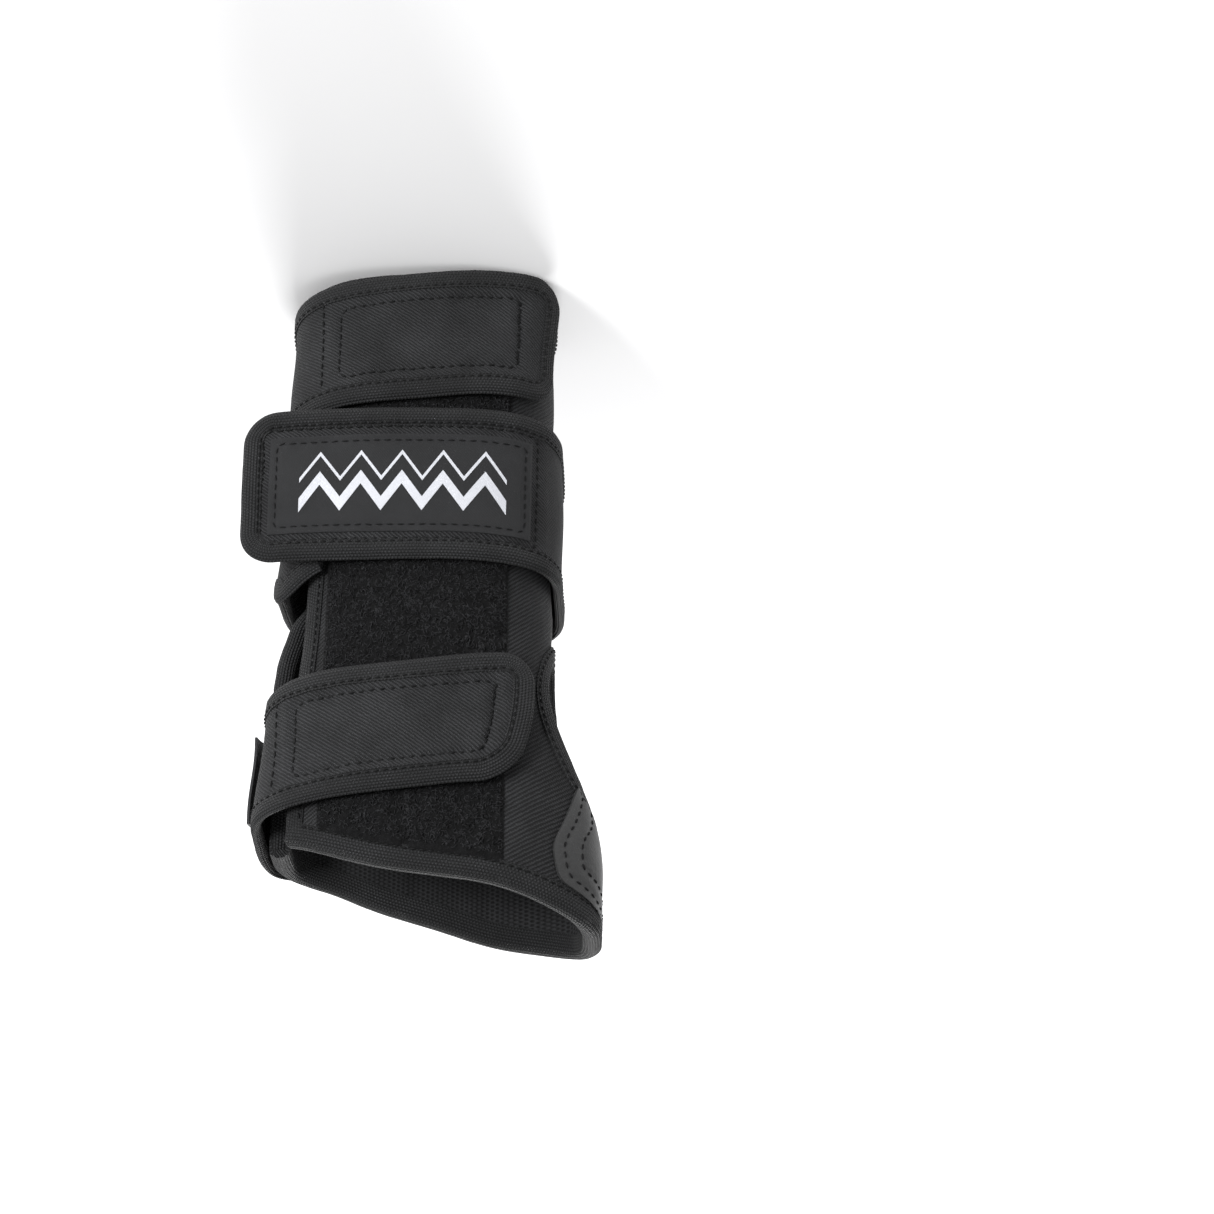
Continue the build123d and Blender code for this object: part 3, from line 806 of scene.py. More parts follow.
def hole_path():
    """The thumb hole's edge as (a, z)."""
    turn = np.linspace(0, 2 * np.pi, 120, endpoint=False)
    y = HOLE_HALF_Y * np.cos(turn)
    z = HOLE_Z + HOLE_HALF_Z * np.sin(turn)
    _, thumb, dorsal, palm = halves(z)
    depth, power = np.where(y > 0, palm, dorsal), np.where(y > 0, PALM_POWER, BACK_POWER)
    x = -thumb * (1 - (np.abs(y) / depth) ** power) ** (1 / power)
    theta = np.arctan2(y, x)
    theta = np.where(theta > 0, theta - 2 * np.pi, theta)
    return np.stack([np.interp(theta, sleeve.theta, sleeve.a), z], -1)


EDGES = (
    ("cuff_tape", "cuff_tape_stitches", whole, cuff_path, 1, 4),
    ("hand_end_tape", "hand_end_stitches", whole, hand_path, -1, 4),
    ("slit_tape_back", "slit_back_stitches", sleeve, back_line, 1, 3),
    ("slit_tape_palm", "slit_palm_stitches", whole, palm_line, -1, 3),
    ("thumb_hole_tape", "thumb_hole_stitches", sleeve, hole_path(), 1, 0),
)


def edge_stitches(name, skin, path, inward, closed=False, height=0.86, b=5.3):
    """One line of stitches, b mm in from an edge."""
    inner = offset_path(skin, path, b, inward, closed)
    dress(beads(name, skin, [(inner, closed)], height=height), THREAD)


for name, _, skin, path, inward, ends in EDGES:
    dress(tape(name, skin, path, WALL_LO, WALL_HI, inward=inward, closed=not ends), RIBBED, replaces=(name,))
for _, name, skin, path, inward, ends in EDGES:
    edge_stitches(name, skin, path[ends:len(path) - ends], inward, closed=not ends)

# ---- loop panel


def curls(name, skin, spots, height, size):
    """Small upright loops of yarn at (a, v) spots."""
    p, n, ea, ev = skin.at(spots[:, 0], spots[:, 1])
    count = len(spots)
    turn = rng.uniform(0, 2 * np.pi, count)
    t = ea * np.cos(turn)[:, None] + ev * np.sin(turn)[:, None]
    t /= np.linalg.norm(t, axis=-1, keepdims=True)
    up = n + 0.7 * rng.normal(0, 1, (count, 3))
    up /= np.linalg.norm(up, axis=-1, keepdims=True)
    b = np.cross(up, t)
    radius = size * rng.uniform(0.7, 1.25, count)
    bends = np.radians([-25, 35, 90, 145, 205])
    ring = [0.0, 2 * np.pi / 3, 4 * np.pi / 3]
    thick = 0.15
    rows = []
    for bend in bends:
        centre = p + n * height + radius[:, None] * (np.cos(bend) * t + (0.15 + np.sin(bend)) * up)
        out = np.cos(bend) * t + np.sin(bend) * up
        for r in ring:
            rows.append(centre + thick * (np.cos(r) * out + np.sin(r) * b))
    verts = np.stack(rows, 1).reshape(-1, 3)
    k = len(ring)
    one = []
    for i in range(len(bends) - 1):
        for j in range(k):
            one.append([i * k + j, i * k + (j + 1) % k, (i + 1) * k + (j + 1) % k, (i + 1) * k + j])
    ends = [[0, 2, 1], [(len(bends) - 1) * k + j for j in range(k)]]
    each = len(bends) * k
    base = np.arange(count)[:, None, None] * each
    quads = (np.array(one)[None] + base).reshape(-1, 4)
    caps = (np.array(ends)[None] + base).reshape(-1, 3)
    return make(name, verts, [*quads, *caps], None, sharp=0)


LOOP_X, LOOP_LOW, LOOP_TOP_IN = (-24.5, 30.0), 5.5, 6.0
rows, cols = 360, 100
f = np.linspace(0, 1, cols)[None, :]
loop_z = np.full((rows, cols), 100.0)
for _ in range(3):
    left_a, right_a = sleeve.a_at(LOOP_X[0], loop_z), sleeve.a_at(LOOP_X[1], loop_z)
    loop_a = left_a + (right_a - left_a) * f
    loop_length = cut_z(loop_a[-1]) - LOOP_LOW - LOOP_TOP_IN
    loop_z = LOOP_LOW + loop_length[None, :] * np.linspace(0, 1, rows)[:, None]
tuft = rng.uniform(0, 1, (rows, cols))
tuft = (tuft + np.roll(tuft, 1, 0) + np.roll(tuft, 1, 1) + np.roll(np.roll(tuft, 1, 0), 1, 1)) / 4
clump = np.sin(loop_a / 1.3 + 2 * np.sin(loop_z / 2.1))
clump = clump * np.sin(loop_z / 1.5 + 2 * np.sin(loop_a / 2.7)) / 2 + 0.5
loop_hi = 0.85 + 0.5 * (tuft - 0.5) * 2 + 0.25 * (clump - 0.5)
loop_sides = [(np.stack([loop_a[4:-4, k], loop_z[4:-4, k]], -1), False) for k in (2, -3)]
dress(beads("loop_panel_stitches", sleeve, loop_sides, height=0.75), THREAD)
edge_fade = np.minimum(np.minimum(f, 1 - f) * cols / 3, 1) * np.ones((rows, 1))
loop_hi = 0.35 + (loop_hi - 0.35) * edge_fade
loop_panel = slab("loop_panel", sleeve, loop_a, loop_z, 0.0, loop_hi, sharp=0)
dress(loop_panel, LOOP_BASE_PAINTED_SHADE, replaces=("loop_panel",))
TUFTS = 16000
cell = (rng.uniform(2, rows - 5, TUFTS).astype(int), rng.uniform(2, cols - 2, TUFTS).astype(int))
spots = np.stack([grid[cell] + rng.uniform(-0.3, 0.3, TUFTS) for grid in (loop_a, loop_z)], -1)
dress(curls("loop_pile", sleeve, spots, 0.75, 0.52), LOOP_CURLS_PAINTED_GLINTS)

# ---- straps


GAP = 3.1
CORNER, THICK = 10.0, 2.2


def stitched_box(a0, a1, v0, v1, radius=3.0):
    """Closed rounded rectangle of stitches."""
    turn = np.radians(np.linspace(0, 90, 6))
    corners = ((a1, v1, 0), (a0, v1, 90), (a0, v0, 180), (a1, v0, 270))
    points = []
    for a, v, start in corners:
        ca, cv = a - radius * np.sign(a - (a0 + a1) / 2), v - radius * np.sign(v - (v0 + v1) / 2)
        for t in turn + np.radians(start):
            points.append((ca + radius * np.cos(t), cv + radius * np.sin(t)))
    return np.array(points)


def strap_sag(box, strength=1.0):
    """Puckers round a stitched box, and slight folds along the strap."""
    a0, a1, v0, v1 = box

    def sag(a, v, p):
        out = np.maximum(np.maximum(a0 - a, a - a1), np.maximum(v0 - v, v - v1))
        line = -0.6 * np.exp(-(out / 1.0) ** 2) + 0.35 * np.exp(-((out - 2.8) / 1.5) ** 2)
        crease = 0.26 * np.sin(a / 1.5 + 1.5 * np.sin(v / 6)) * np.exp(-(out / 3.5) ** 2)
        end = -0.55 * np.exp(-((a - a0) / 2.6) ** 2) * (0.6 + 0.4 * np.sin(1.1 * v)) * (out < 3)
        belly = end + 0.5 * np.sin(a / 11.0 + v / 8.0 + 0.6) + 0.3 * np.sin(a / 6.0 - v / 9.0)
        return strength * (line + crease + belly * 0.6)

    return sag


def knots(name, skin, box, side, height):
    """Lumps of thread where a stitched box's end is sewn over twice."""
    a0, a1, v0, v1 = box
    a = a0 if side < 0 else a1
    v = np.linspace(v0 + 2, v1 - 2, 9) + rng.uniform(-0.6, 0.6, 9)
    path = np.stack([np.full(9, a) + rng.uniform(-0.5, 0.5, 9), v], -1)
    return beads(name, skin, [(path, False)], pitch=2.1, length=1.3, radius=0.55, height=height)


def strap(name, skin, a_root, a_free, low, high, box, nodes, tape_nodes,
          settle=np.zeros_like, cross=None):
    """A bound strap from its root to its rounded free end."""
    a, v = strap_grid(a_root, a_free, low, high, CORNER, 1.2)
    lift = settle(a)
    cloth = slab(name, skin, a, v, 0.1 + lift, THICK - 0.1 + lift)
    path = rounded_end(a_root, a_free, low, high, CORNER)
    way = 1 if a_free > a_root else -1
    edge = tape(name + "_edge", skin, path, 0.25, THICK - 0.25, inward=way, width=6.0, proud=0.6,
                lift=lambda q: settle(q[:, 0]))
    lines = [(offset_path(skin, path, 4.9, way), False)]
    rim = beads(name + "_edge_stitches", skin, lines, height=0.0,
                lift=lambda q: THICK + 0.32 + settle(q[:, 0]))
    box_paths = [(stitched_box(*box), True)]
    if cross is not None:
        box_paths.append((np.stack([np.full(20, cross), np.linspace(low + 6, high - 6, 20)], -1), False))
    box_line = beads(name + "_box_stitches", skin, box_paths, pitch=3.0, length=2.1, radius=0.4, height=THICK)
    lumps = knots(name + "_knots", skin, box, a_free - a_root, THICK)
    pieces = ((cloth, TWILL, nodes), (edge, RIBBED, tape_nodes), (rim, THREAD, ()), (box_line, THREAD, ()),
              (lumps, THREAD, ()))
    for obj, mat, replaced in pieces:
        dress(obj, mat, None, replaces=replaced)
        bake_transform(obj)


def hook_patch(name, skin, start, end, half, body, middle=0.0):
    """Hook pile under a strap's free end, from start to end, each (x, z) on the back."""
    v = np.linspace(middle - half, middle + half, 40)[:, None]
    a = np.linspace(skin.a_at(*start), skin.a_at(*end), 70)[None, :]
    a, v = np.broadcast_arrays(a, v)
    rough = rng.uniform(-0.18, 0.1, a.shape)
    obj = slab(name, skin, a, v, -0.95 + rough, 0.15, sharp=0)
    return dress(obj, HOOKS, body, replaces=(name,))


def back_strap(name, skin, a_root, a_free, half, box, cross, hook):
    """The cuff's or the hand's strap, sewn on at the little finger side. box, cross and hook give (x, z)."""
    (x0, z0), (x1, z1), high = box
    stitched = (skin.a_at(x0, z0), skin.a_at(x1, z1), -high, high)
    skin.sag = strap_sag(stitched)
    strap(
        name, skin, a_root, a_free, -half, half, stitched, (name, name + "_root"),
        (name + "_tape", name + "_root_tape"), cross=skin.a_at(*cross),
        settle=lambda a: -0.9 * smooth(a, a_root - 14, a_root),
    )
    hook_patch(name + "_hook", skin, *hook, name)


# cuff strap: root round the little finger side, free end at the thumb side
cs = Skin((GAP, GAP, GAP, 1.2), z_ref=24.5, slope=0.07, z_mid=24.5)
cs_root = np.interp(np.arctan2(27.5, 35.0), cs.theta, cs.a)
back_strap(
    "cuff_strap", cs, cs_root, cs.a_at(-37.0, 22.0), 21.2, box=((-26.5, 22.0), (28.0, 22.0), 12.0),
    cross=(33.0, 22.0), hook=((-30, 22), (26, 22), 15.0),
)

# hand strap, slanting towards the cuff at the thumb side
hs = Skin((GAP, GAP, GAP, 1.2), z_ref=155.0, slope=0.11, z_mid=155.0)
hs_free = hs.a_at(-31.5, 152.0)
hs_root = np.interp(np.arctan2(25.5, 39.0), hs.theta, hs.a)


def hand_strap_warp(a, v):
    """Slants the free end, and widens the root until its edge meets the hand end's tape."""
    near_end = smooth(-a, -hs_free - 45, -hs_free)
    near_root = smooth(a, hs_root - 42, hs_root - 8)
    return a + (0.2 * v + 0.006 * v * v) * near_end, v + 5.0 * near_root * smooth(v, -8, 20)


hs.warp = hand_strap_warp
back_strap(
    "hand_strap", hs, hs_root, hs_free, 20.0, box=((-20.5, 152.0), (37.0, 158.0), 11.5),
    cross=(42.5, 158.0), hook=((-24, 153), (33, 158), 13.8),
)

# wrap strap: free end over the back, carried on round the thumb side to the palm's corner
WRAP_LOW, WRAP_HIGH, WRAP_MID = 51.0, 101.0, 76.0
WRAP_ROOT = np.radians(-222)
ws = Skin((38.0, 1.8, GAP, 7.0), palm_power=6.0, z_ref=WRAP_MID)
ws_free = ws.a_at(56.0, WRAP_MID)
ws_root = np.interp(WRAP_ROOT, ws.theta, ws.a)
ws_box = (ws.a_at(-30.0, WRAP_MID) - 2.5, ws.a_at(48.0, WRAP_MID) + 2.5, 57.0, 95.0)
ws.sag = strap_sag(ws_box, 0.6)
strap(
    "wrap_strap_end", ws, ws_root, ws_free, WRAP_LOW, WRAP_HIGH, ws_box,
    ("wrap_strap_end",), ("wrap_strap_end_tape",),
)
hook_patch("wrap_strap_hook", ws, (-18, WRAP_MID), (27, WRAP_MID), 18.8, "wrap_strap", middle=WRAP_MID)

label_a0, label_a1 = ws.a_at(-30.0, WRAP_MID), ws.a_at(48.0, WRAP_MID)
LABEL_LOW, LABEL_HIGH, LABEL_IN = 60.0, 93.0, 2.2
label_a, label_v = np.meshgrid(np.linspace(label_a0, label_a1, 100), np.linspace(LABEL_LOW, LABEL_HIGH, 44))
edge_far = np.minimum.reduce(
    [label_a - label_a0, label_a1 - label_a, label_v - LABEL_LOW, LABEL_HIGH - label_v]
)
label_top = 2.85 - 0.25 * np.exp(-((edge_far - LABEL_IN) / 0.8) ** 2) - 0.2 * np.exp(-(edge_far / 0.5) ** 2)
label = slab("woven_patch", ws, label_a, label_v, 2.15, label_top)
dress(label, PATCH, "wrap_strap", replaces=("woven_patch",))
label_seam = stitched_box(
    label_a0 + LABEL_IN, label_a1 - LABEL_IN, LABEL_LOW + LABEL_IN, LABEL_HIGH - LABEL_IN, 1.0
)
label_stitches = beads(
    "woven_patch_stitches", ws, [(label_seam, True)], pitch=3.2, length=2.2, radius=0.26, height=2.72
)
dress(label_stitches, THREAD, "wrap_strap")


def zigzag(name, middle, width):
    """Pale woven line that runs up and down along the patch."""
    swing, pitch = 9.0, 12.4
    a = np.linspace(label_a0 + 8, label_a0 + 8 + 5 * pitch, 201)[None, :]
    fold = 2 * np.abs(((a - label_a0 - 8) / pitch) % 1 - 0.5)
    v = middle + swing * (fold - 0.5) + np.linspace(-width / 2, width / 2, 7)[:, None]
    obj = slab(name, ws, a, v, 2.6, 3.0)
    return dress(obj, PALE, "wrap_strap")


zigzag("woven_patch_wide_line", 79.5, 4.6)
zigzag("woven_patch_thin_line", 71.0, 1.5)

# wrap strap: fixed run from the back's slit edge round the little finger side and over the palm
wr = RoundPalm((5.0, 1.8, 1.1, 7.0), palm_power=6.0, z_ref=WRAP_MID)
wr_start = wr.a_at(31.5, WRAP_MID)
wr_end = np.interp(WRAP_ROOT, wr.theta, wr.a) + wr.a[-1] - wr.a[0] + 5.0
wr_side = wr.a_at(42.0, WRAP_MID)


def run_warp(a, v):
    """The run's hand side edge hangs lower over the slit."""
    return a, v + 7.5 * np.exp(-((a - wr_side) / 10.0) ** 2) * smooth(v, 72, 101)


wr.warp = run_warp
wr.sag = lambda a, v, p: 0.25 * np.sin(a / 15.0 + v / 9.0) + 0.15 * np.sin(v / 4.0 + a / 31.0)
run_a, run_v = np.meshgrid(
    np.linspace(wr_start, wr_end, 150), np.linspace(WRAP_LOW + 1.2, WRAP_HIGH - 1.2, 38)
)
under_end = -0.9 * smooth(run_a, wr_end - 9, wr_end - 4)
run = slab("wrap_strap_run", wr, run_a, run_v, 0.1 + under_end * 0.2, 1.7 + under_end)
dress(run, TWILL, replaces=("wrap_strap_run",))
line_a = np.linspace(wr_start, wr_end, 200)
for which, (height, way) in enumerate(((WRAP_LOW, 1), (WRAP_HIGH, -1))):
    path = np.stack([line_a, np.full(200, height)], -1)
    piece = tape(f"wrap_run_tape_{which}", wr, path, 0.2, 1.6, inward=way, width=6.0, proud=0.55,
                 lift=lambda q: -0.5 * smooth(q[:, 0], wr_end - 9, wr_end - 4))
    dress(piece, RIBBED, replaces=("wrap_strap_run_tape",))
    edge_stitches(f"wrap_run_stitches_{which}", wr, path, way, height=1.95, b=4.9)

# ---- palm leather and splint

SPLINT_X = (-23.0, 20.0)
POCKET_X = (SPLINT_X[0] - 1.6, SPLINT_X[1] + 1.6)
WINDOW_Z = (98.0, 153.5)
CUT_X, CUT_Z = (-24.0, 21.0), (24.9, 25.6)
OUTER_IN = 3.4
POCKET_LEFT, POCKET_RIGHT, POCKET_TOP, POCKET_LOW = 7.6, 11.5, 12.0, 17.0


def panel_left(z):
    """The leather's edge on the thumb side."""
    return -33.0 + 2.0 * z / 230


def panel_right(z):
    """The leather's edge on the little finger side."""
    return 34.0 + 4.0 * z / 230


def panel_top(x):
    """The leather's edge at the hand end."""
    return cut_at(np.asarray(x, float), 28.0) - 5.6


def pocket_bulge(x, z):
    """The cover's rise over the splint, and its dips along the stitch lines."""
    left, right = POCKET_X
    over = smooth(x, left - 3.5, left + 1.5) * smooth(-x, -right - 3.5, -right + 1.5)
    over = over * smooth(z, 13, 27.5) * smooth(-z, -190, -178)
    crown = 3.3 + 0.3 * np.sin(z / 14.0 + 0.5) * np.sin(x / 11.0)
    return over * (crown + (halves(z)[3] - palm_y(x, z, 0.98)))


def panel_path(low, left_in, right_in, top_in, high, steps, across):
    """A closed path of (x, z) inside the leather's outline, from the height low up."""
    z = np.linspace(low, high, steps)
    left = np.stack([panel_left(z) + left_in, z], -1)
    right = np.stack([panel_right(z) - right_in, z], -1)
    left, right = (side[side[:, 1] < panel_top(side[:, 0]) - top_in] for side in (left, right))
    x = np.linspace(left[-1, 0], right[-1, 0], across)
    top = np.stack([x, panel_top(x) - top_in], -1)
    bottom = np.stack([np.linspace(left[0, 0], right[0, 0], across), np.full(across, low)], -1)
    return np.concatenate([bottom, right[1:], top[::-1][1:], left[::-1][1:-1]])


def line_dips(x, z):
    """Grooves the stitch lines pull into the leather."""
    depth, width = 0.32, 0.75
    top = panel_top(x)
    outer = np.minimum.reduce([x - panel_left(z), panel_right(z) - x, z - 1.0, top - z])
    dip = np.exp(-((outer - OUTER_IN) / width) ** 2)
    far = 9.0
    beside = (z > 15) & (z < top - 10)
    across = (x > panel_left(z) + 7) & (x < panel_right(z) - 11)
    sides = np.minimum.reduce([
        np.where(beside, np.abs(x - panel_left(z) - POCKET_LEFT), far),
        np.where(beside, np.abs(panel_right(z) - POCKET_RIGHT - x), far),
        np.where(across, np.abs(top - POCKET_TOP - z), far),
        np.where(across, np.abs(z - POCKET_LOW), far),
    ])
    return -depth * (dip + np.exp(-(sides / width) ** 2))


def panel_grid(base, inset=0.0):
    """Grid over the leather, in level rows at the heights base, then rows that bend to the hand end."""
    f = np.linspace(0, 1, 76)
    x = panel_left(base)[:, None] + inset + (panel_right(base) - panel_left(base) - 2 * inset)[:, None] * f
    t = np.linspace(0, 1, 46)[1:, None]
    z_top = base[-1] + (panel_top(x[-1]) - inset - base[-1])[None, :] * t
    x_up = panel_left(z_top) + inset + (panel_right(z_top) - panel_left(z_top) - 2 * inset) * f
    z = np.concatenate([np.broadcast_to(base[:, None], x.shape), z_top])
    return np.concatenate([x, x_up]), z


base_leather = slab("palm_leather_base", Palm(), *panel_grid(np.arange(1.6, 150, 1.1), 0.6), 0.55, 1.5)
dress(base_leather, LEATHER_BACK, replaces=("palm_leather_base",))

cover_rows = np.concatenate([
    np.arange(1.0, 24.6, 0.9), CUT_Z, np.arange(26.4, WINDOW_Z[0], 1.1), WINDOW_Z[:1],
    np.arange(WINDOW_Z[0] + 1.2, WINDOW_Z[1], 1.2), WINDOW_Z[1:],
])
cover_x, cover_z = panel_grid(cover_rows)
cx = (cover_x[:-1, :-1] + cover_x[1:, 1:]) / 2
cz = (cover_z[:-1, :-1] + cover_z[1:, 1:]) / 2
keep = ~((cx > POCKET_X[0]) & (cx < POCKET_X[1]) & (cz > WINDOW_Z[0]) & (cz < WINDOW_Z[1]))
keep &= ~((cx > CUT_X[0]) & (cx < CUT_X[1]) & (cz > CUT_Z[0]) & (cz < CUT_Z[1]))


def cover_bulge(x, z):
    """The cover's rise, with a lip at the cut and at the window's hand end."""
    lip = 0.5 * np.exp(-((z - 23.6) / 1.6) ** 2) * ((x > CUT_X[0]) & (x < CUT_X[1]))
    mouth = 0.5 * np.exp(-((z - WINDOW_Z[1] - 1) / 3.0) ** 2) * ((x > POCKET_X[0]) & (x < POCKET_X[1]))
    return pocket_bulge(x, z) + line_dips(x, z) + lip + mouth


cover = slab("palm_leather_cover", Palm(cover_bulge), cover_x, cover_z, 1.5, 2.6, keep)
dress(cover, LEATHER, replaces=("palm_leather_cover",))
outer_line = panel_path(1.0 + OUTER_IN, OUTER_IN, OUTER_IN, OUTER_IN, high=200, steps=140, across=50)
pocket_line = panel_path(POCKET_LOW, POCKET_LEFT, POCKET_RIGHT, POCKET_TOP, high=188, steps=120, across=40)
leather_lines = beads(
    "palm_leather_stitches", Palm(cover_bulge), [(outer_line, True), (pocket_line, True)],
    pitch=3.3, length=2.0, radius=0.34, height=2.62,
)
dress(leather_lines, THREAD)


LEG_Y, BOW_RISE = 29.35, 13.0
BOW_START, BOW_CREST, BOW_END = 106.5, 130.5, 151.0
AROUND = 64


def splint_line(z):
    """Inner face of the splint: flat leg, rounded bow, flat leg."""
    up = np.clip((z - BOW_START) / (BOW_CREST - BOW_START), 0, 1)
    down = np.clip((z - BOW_CREST) / (BOW_END - BOW_CREST), 0, 1)
    return LEG_Y + BOW_RISE * (0.5 - 0.5 * np.cos(np.pi * up)) * (0.5 + 0.5 * np.cos(np.pi * down))


def build_splint():
    """Bowed strip with rounded corners and soft edges."""
    zs = np.concatenate([np.linspace(30, 98, 40), np.linspace(99, 153, 90), np.linspace(154, 178, 22)])
    y = splint_line(zs)
    kernel = np.hanning(9) / np.hanning(9).sum()
    y = np.convolve(np.pad(y, 4, mode="edge"), kernel, mode="valid")
    slope = np.gradient(y, zs)
    ny, nz = 1 / np.hypot(1, slope), -slope / np.hypot(1, slope)
    half, mid = (SPLINT_X[1] - SPLINT_X[0]) / 2, sum(SPLINT_X) / 2
    run = np.concatenate([[0], np.cumsum(np.hypot(np.diff(zs), np.diff(y)))])
    to_end = np.minimum(run, run[-1] - run)
    r = 8
    narrow = r - np.sqrt(np.maximum(r * r - (r - np.clip(to_end, 0, r)) ** 2, 0))
    turn = np.linspace(0, 2 * np.pi, AROUND, endpoint=False)
    cc, ss = np.cos(turn), np.sin(turn)
    ex = np.sign(cc) * np.abs(cc) ** 0.08
    ey = np.sign(ss) * np.abs(ss) ** 0.55
    verts, uv = [], []
    for k in range(len(zs)):
        w = half - narrow[k]
        x = mid + ex * w
        t = 1.1 + ey * 1.1
        verts.append(np.stack([x, y[k] + t * ny[k], zs[k] + t * nz[k]], -1))
        uv.append(np.stack([x, np.full(AROUND, run[k])], -1))
    verts, uv = np.concatenate(verts), np.concatenate(uv)
    faces = []
    for k in range(len(zs) - 1):
        a = k * AROUND + np.arange(AROUND)
        b = k * AROUND + (np.arange(AROUND) + 1) % AROUND
        faces += list(np.stack([a, b, b + AROUND, a + AROUND], -1))
    last = (len(zs) - 1) * AROUND
    faces += [np.arange(AROUND)[::-1], last + np.arange(AROUND)]
    return make("palm_splint", verts, faces, uv, sharp=0)


splint = build_splint()
dress(splint, GLOSSY, "splint", replaces=("palm_splint",))

# ---- thumb patch and side label

PATCH_OUTLINE = np.array([
    (0, 161), (6, 163.5), (11.5, 170), (15.5, 178.5), (18.8, 187), (19.8, 193), (19, 199), (16, 203),
    (9, 206.5), (0, 208), (-9, 205), (-16, 199), (-21, 190), (-23, 180), (-21, 169), (-15, 161.5),
    (-7, 159.5),
])
PATCH_CENTRE = np.array([0.0, 183.0])
PATCH_SEAMS = (2.6, 7.4)


def smooth_loop(points, count):
    """Closed smooth curve through the points."""
    n = len(points)
    spectrum = np.fft.fft(points[:, 0] + 1j * points[:, 1])
    freq = np.fft.fftfreq(n, 1 / n)
    t = np.arange(count) / count
    curve = (spectrum[None, :] * np.exp(2j * np.pi * freq[None, :] * t[:, None])).sum(1) / n
    return np.stack([curve.real, curve.imag], -1)


def thumb_patch():
    """Leather patch round the thumb side, between the thumb hole and the hand end's tape."""
    edge, centre = smooth_loop(PATCH_OUTLINE, 160), PATCH_CENTRE
    rings = np.linspace(0.003, 1, 26)
    grid = centre + (edge[None, :, :] - centre) * rings[:, None, None]
    grid = np.concatenate([grid, grid[:, :1]], 1)
    a, z = a_thumb + grid[..., 0], grid[..., 1]
    z = np.minimum(z, cut_z(a) - 4.6)
    keep = hole_keep(a, z, 4.6)
    inset = (1 - rings)[:, None] * np.linalg.norm(grid - centre, axis=-1) / np.maximum(rings[:, None], 0.1)
    hi = 1.1
    for line in PATCH_SEAMS:
        hi = hi - 0.3 * np.exp(-((inset - line) / 0.7) ** 2)
    return a, z, keep, hi


def patch_line(inset):
    """A stitch line inside the patch's edge, left out where the hand end's tape covers it."""
    edge, centre = smooth_loop(PATCH_OUTLINE, 160), PATCH_CENTRE
    reach = np.linalg.norm(edge - centre, axis=-1, keepdims=True)
    line = centre + (edge - centre) * (reach - inset) / reach
    line[:, 0] += a_thumb
    line = np.roll(line, -int(np.argmax(line[:, 1])), 0)
    y = sleeve.raw(line[:, 0], line[:, 1])[:, 1]
    hole = (y / (HOLE_HALF_Y + 6)) ** 2 + ((line[:, 1] - HOLE_Z) / (HOLE_HALF_Z + 6)) ** 2
    seen = (line[:, 1] < cut_z(line[:, 0]) - 6) & (hole > 1)
    breaks = np.flatnonzero(np.diff(seen.astype(int)))
    parts = np.split(np.arange(len(line)), breaks + 1)
    return [(line[part], False) for part in parts if seen[part[0]] and len(part) > 4]


ta, tz, tkeep, t_hi = thumb_patch()
patch = slab("thumb_patch", sleeve, ta, tz, 0.05, t_hi, tkeep)
dress(patch, LEATHER, replaces=("thumb_patch",))
patch_stitches = beads(
    "thumb_patch_stitches", sleeve, [part for inset in PATCH_SEAMS for part in patch_line(inset)],
    pitch=3.2, length=2.0, radius=0.34, height=0.95,
)
dress(patch_stitches, THREAD)


class TabSkin(Surface):
    """The side label's curve: from its free edge at the side, a = 0, to under the leather's edge."""

    CURVE = np.array([(53.4, 14.5), (52.0, 22.5), (46.0, 27.6), (36.5, 29.0)])
    LENGTH = 22.5

    def raw(self, a, v):
        t = (np.asarray(a, float) / self.LENGTH)[..., None]
        weights = ((1 - t) ** 3, 3 * t * (1 - t) ** 2, 3 * t * t * (1 - t), t ** 3)
        xy = sum(w * c for w, c in zip(weights, self.CURVE))
        return np.stack([xy[..., 0], xy[..., 1], v + 0 * xy[..., 0]], -1)


tab = TabSkin()
tab_a, tab_v = np.meshgrid(np.linspace(0, tab.LENGTH, 34), np.linspace(141.0, 169.5, 40))
tab_wave = 0.25 * np.sin(tab_v / 6.0) * (1 - tab_a / tab.LENGTH)
dress(slab("side_label", tab, tab_a, tab_v, 0.6 + tab_wave, 1.4 + tab_wave), PATCH, replaces=("side_label",))
mark_line = np.linspace(145, 165.5, 90)
fold = 2 * np.abs(((mark_line - 145) / 5.125) % 1 - 0.5)
mark_a = 5.4 + 3.4 * fold[:, None] + np.linspace(-0.6, 0.6, 5)[None, :]
mark_v = np.broadcast_to(mark_line[:, None], mark_a.shape)
mark_wave = 0.25 * np.sin(mark_v / 6.0) * (1 - mark_a / tab.LENGTH)
mark = slab("side_label_line", tab, mark_a, mark_v, 1.25 + mark_wave, 1.6 + mark_wave)
dress(mark, PALE)

# ---- floor, light and camera


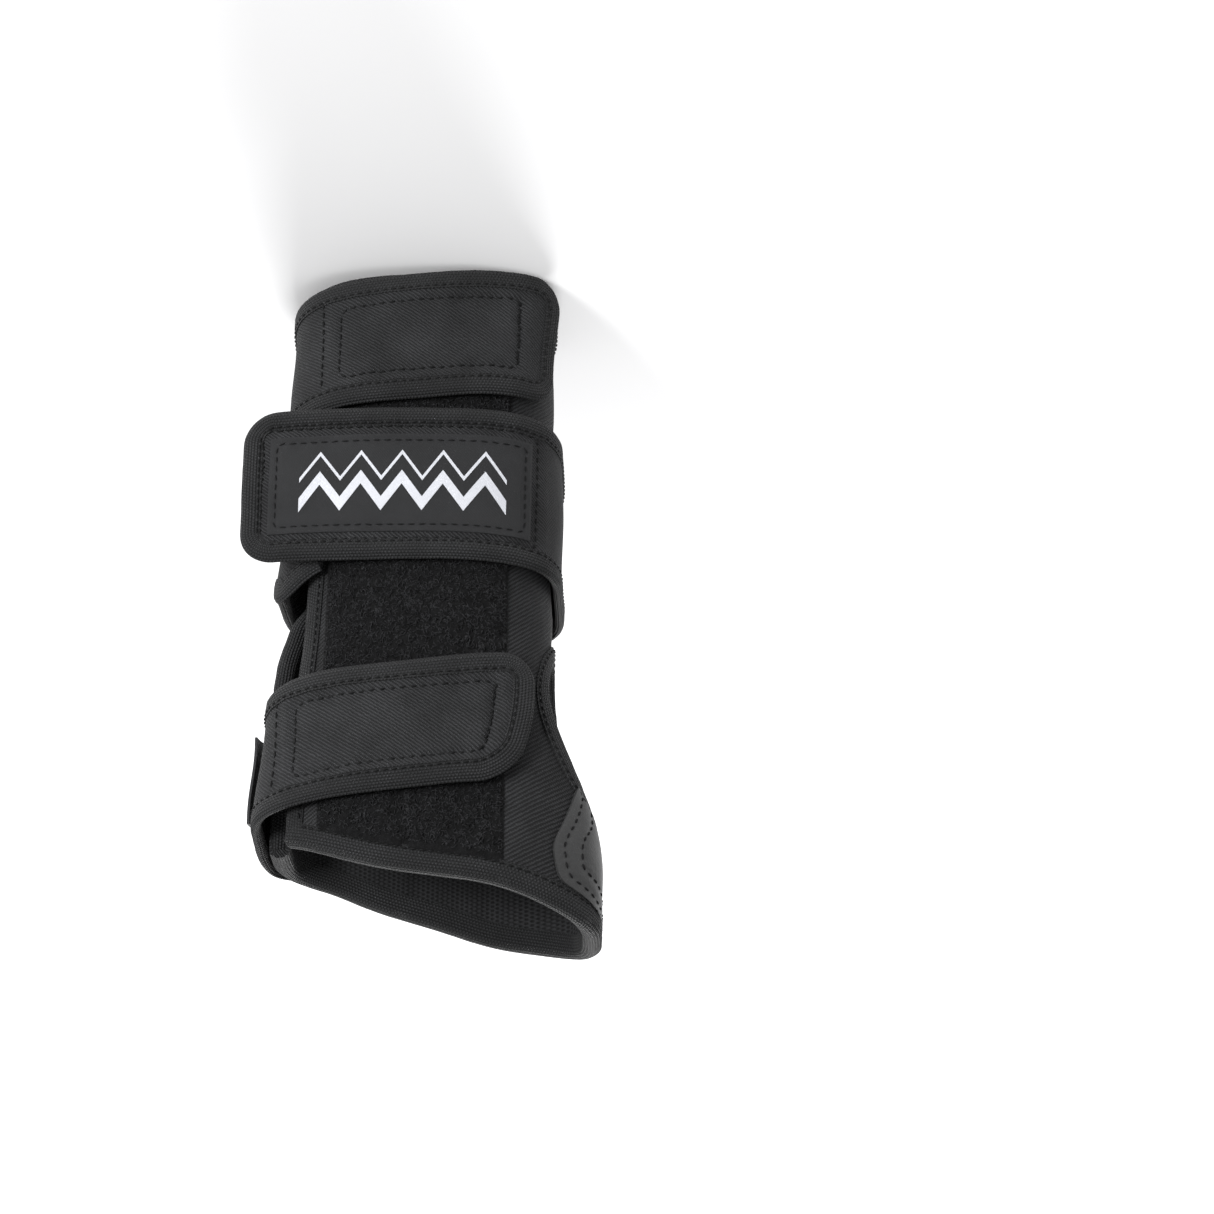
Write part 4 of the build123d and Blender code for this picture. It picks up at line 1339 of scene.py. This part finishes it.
def stage():
    """A pale floor, a white world and three soft lights."""
    size = 30.0
    mesh = bpy.data.meshes.new("floor")
    corners = [(-size, -size, 0), (size, -size, 0), (size, size, 0), (-size, size, 0)]
    mesh.from_pydata(corners, [], [(0, 1, 2, 3)])
    floor = bpy.data.objects.new("floor", mesh)
    bpy.context.scene.collection.objects.link(floor)
    g = Graph("pale floor", Roughness=0.9, Specular_IOR_Level=0.1)
    g.shader.inputs["Base Color"].default_value = (0.92, 0.92, 0.925, 1)
    floor.data.materials.append(g.mat)

    world = bpy.data.worlds.new("studio")
    world.use_nodes = True
    world.node_tree.nodes["Background"].inputs[0].default_value = (1, 1, 1, 1)
    world.node_tree.nodes["Background"].inputs[1].default_value = 0.6
    bpy.context.scene.world = world

    def area(name, spot, target, size, power):
        light = bpy.data.lights.new(name, "AREA")
        light.shape, light.size, light.energy = "DISK", size, power
        obj = bpy.data.objects.new(name, light)
        obj.location = spot
        obj.rotation_mode = "QUATERNION"
        obj.rotation_quaternion = (Vector(target) - Vector(spot)).to_track_quat("-Z", "Y")
        bpy.context.scene.collection.objects.link(obj)

    area("key", (0.75, -1.1, 0.35), (0, 0, 0.1), 0.45, 22)
    area("fill", (-0.8, -0.7, 1.0), (0, 0, 0.1), 0.8, 1.8)
    area("back", (-0.1, 1.2, 0.7), (0, 0, 0.1), 0.6, 18)
    scene = bpy.context.scene
    scene.view_settings.view_transform = "Standard"
    scene.view_settings.exposure = 0.0


def camera():
    """Above the back of the guard, turned over so that the hand end is at the bottom."""
    distance, elevation = 0.95, math.radians(25)
    target = Vector((-0.0546, -0.028, 0.1165))
    back = Vector((0, -math.cos(elevation), math.sin(elevation)))
    data = bpy.data.cameras.new("camera")
    data.lens, data.sensor_width = 94.0, 36.0
    obj = bpy.data.objects.new("camera", data)
    obj.rotation_mode = "QUATERNION"
    obj.location = target + back * distance
    obj.rotation_quaternion = Quaternion(back, math.pi) @ (-back).to_track_quat("-Z", "Y")
    bpy.context.scene.collection.objects.link(obj)
    bpy.context.scene.camera = obj


stage()
camera()
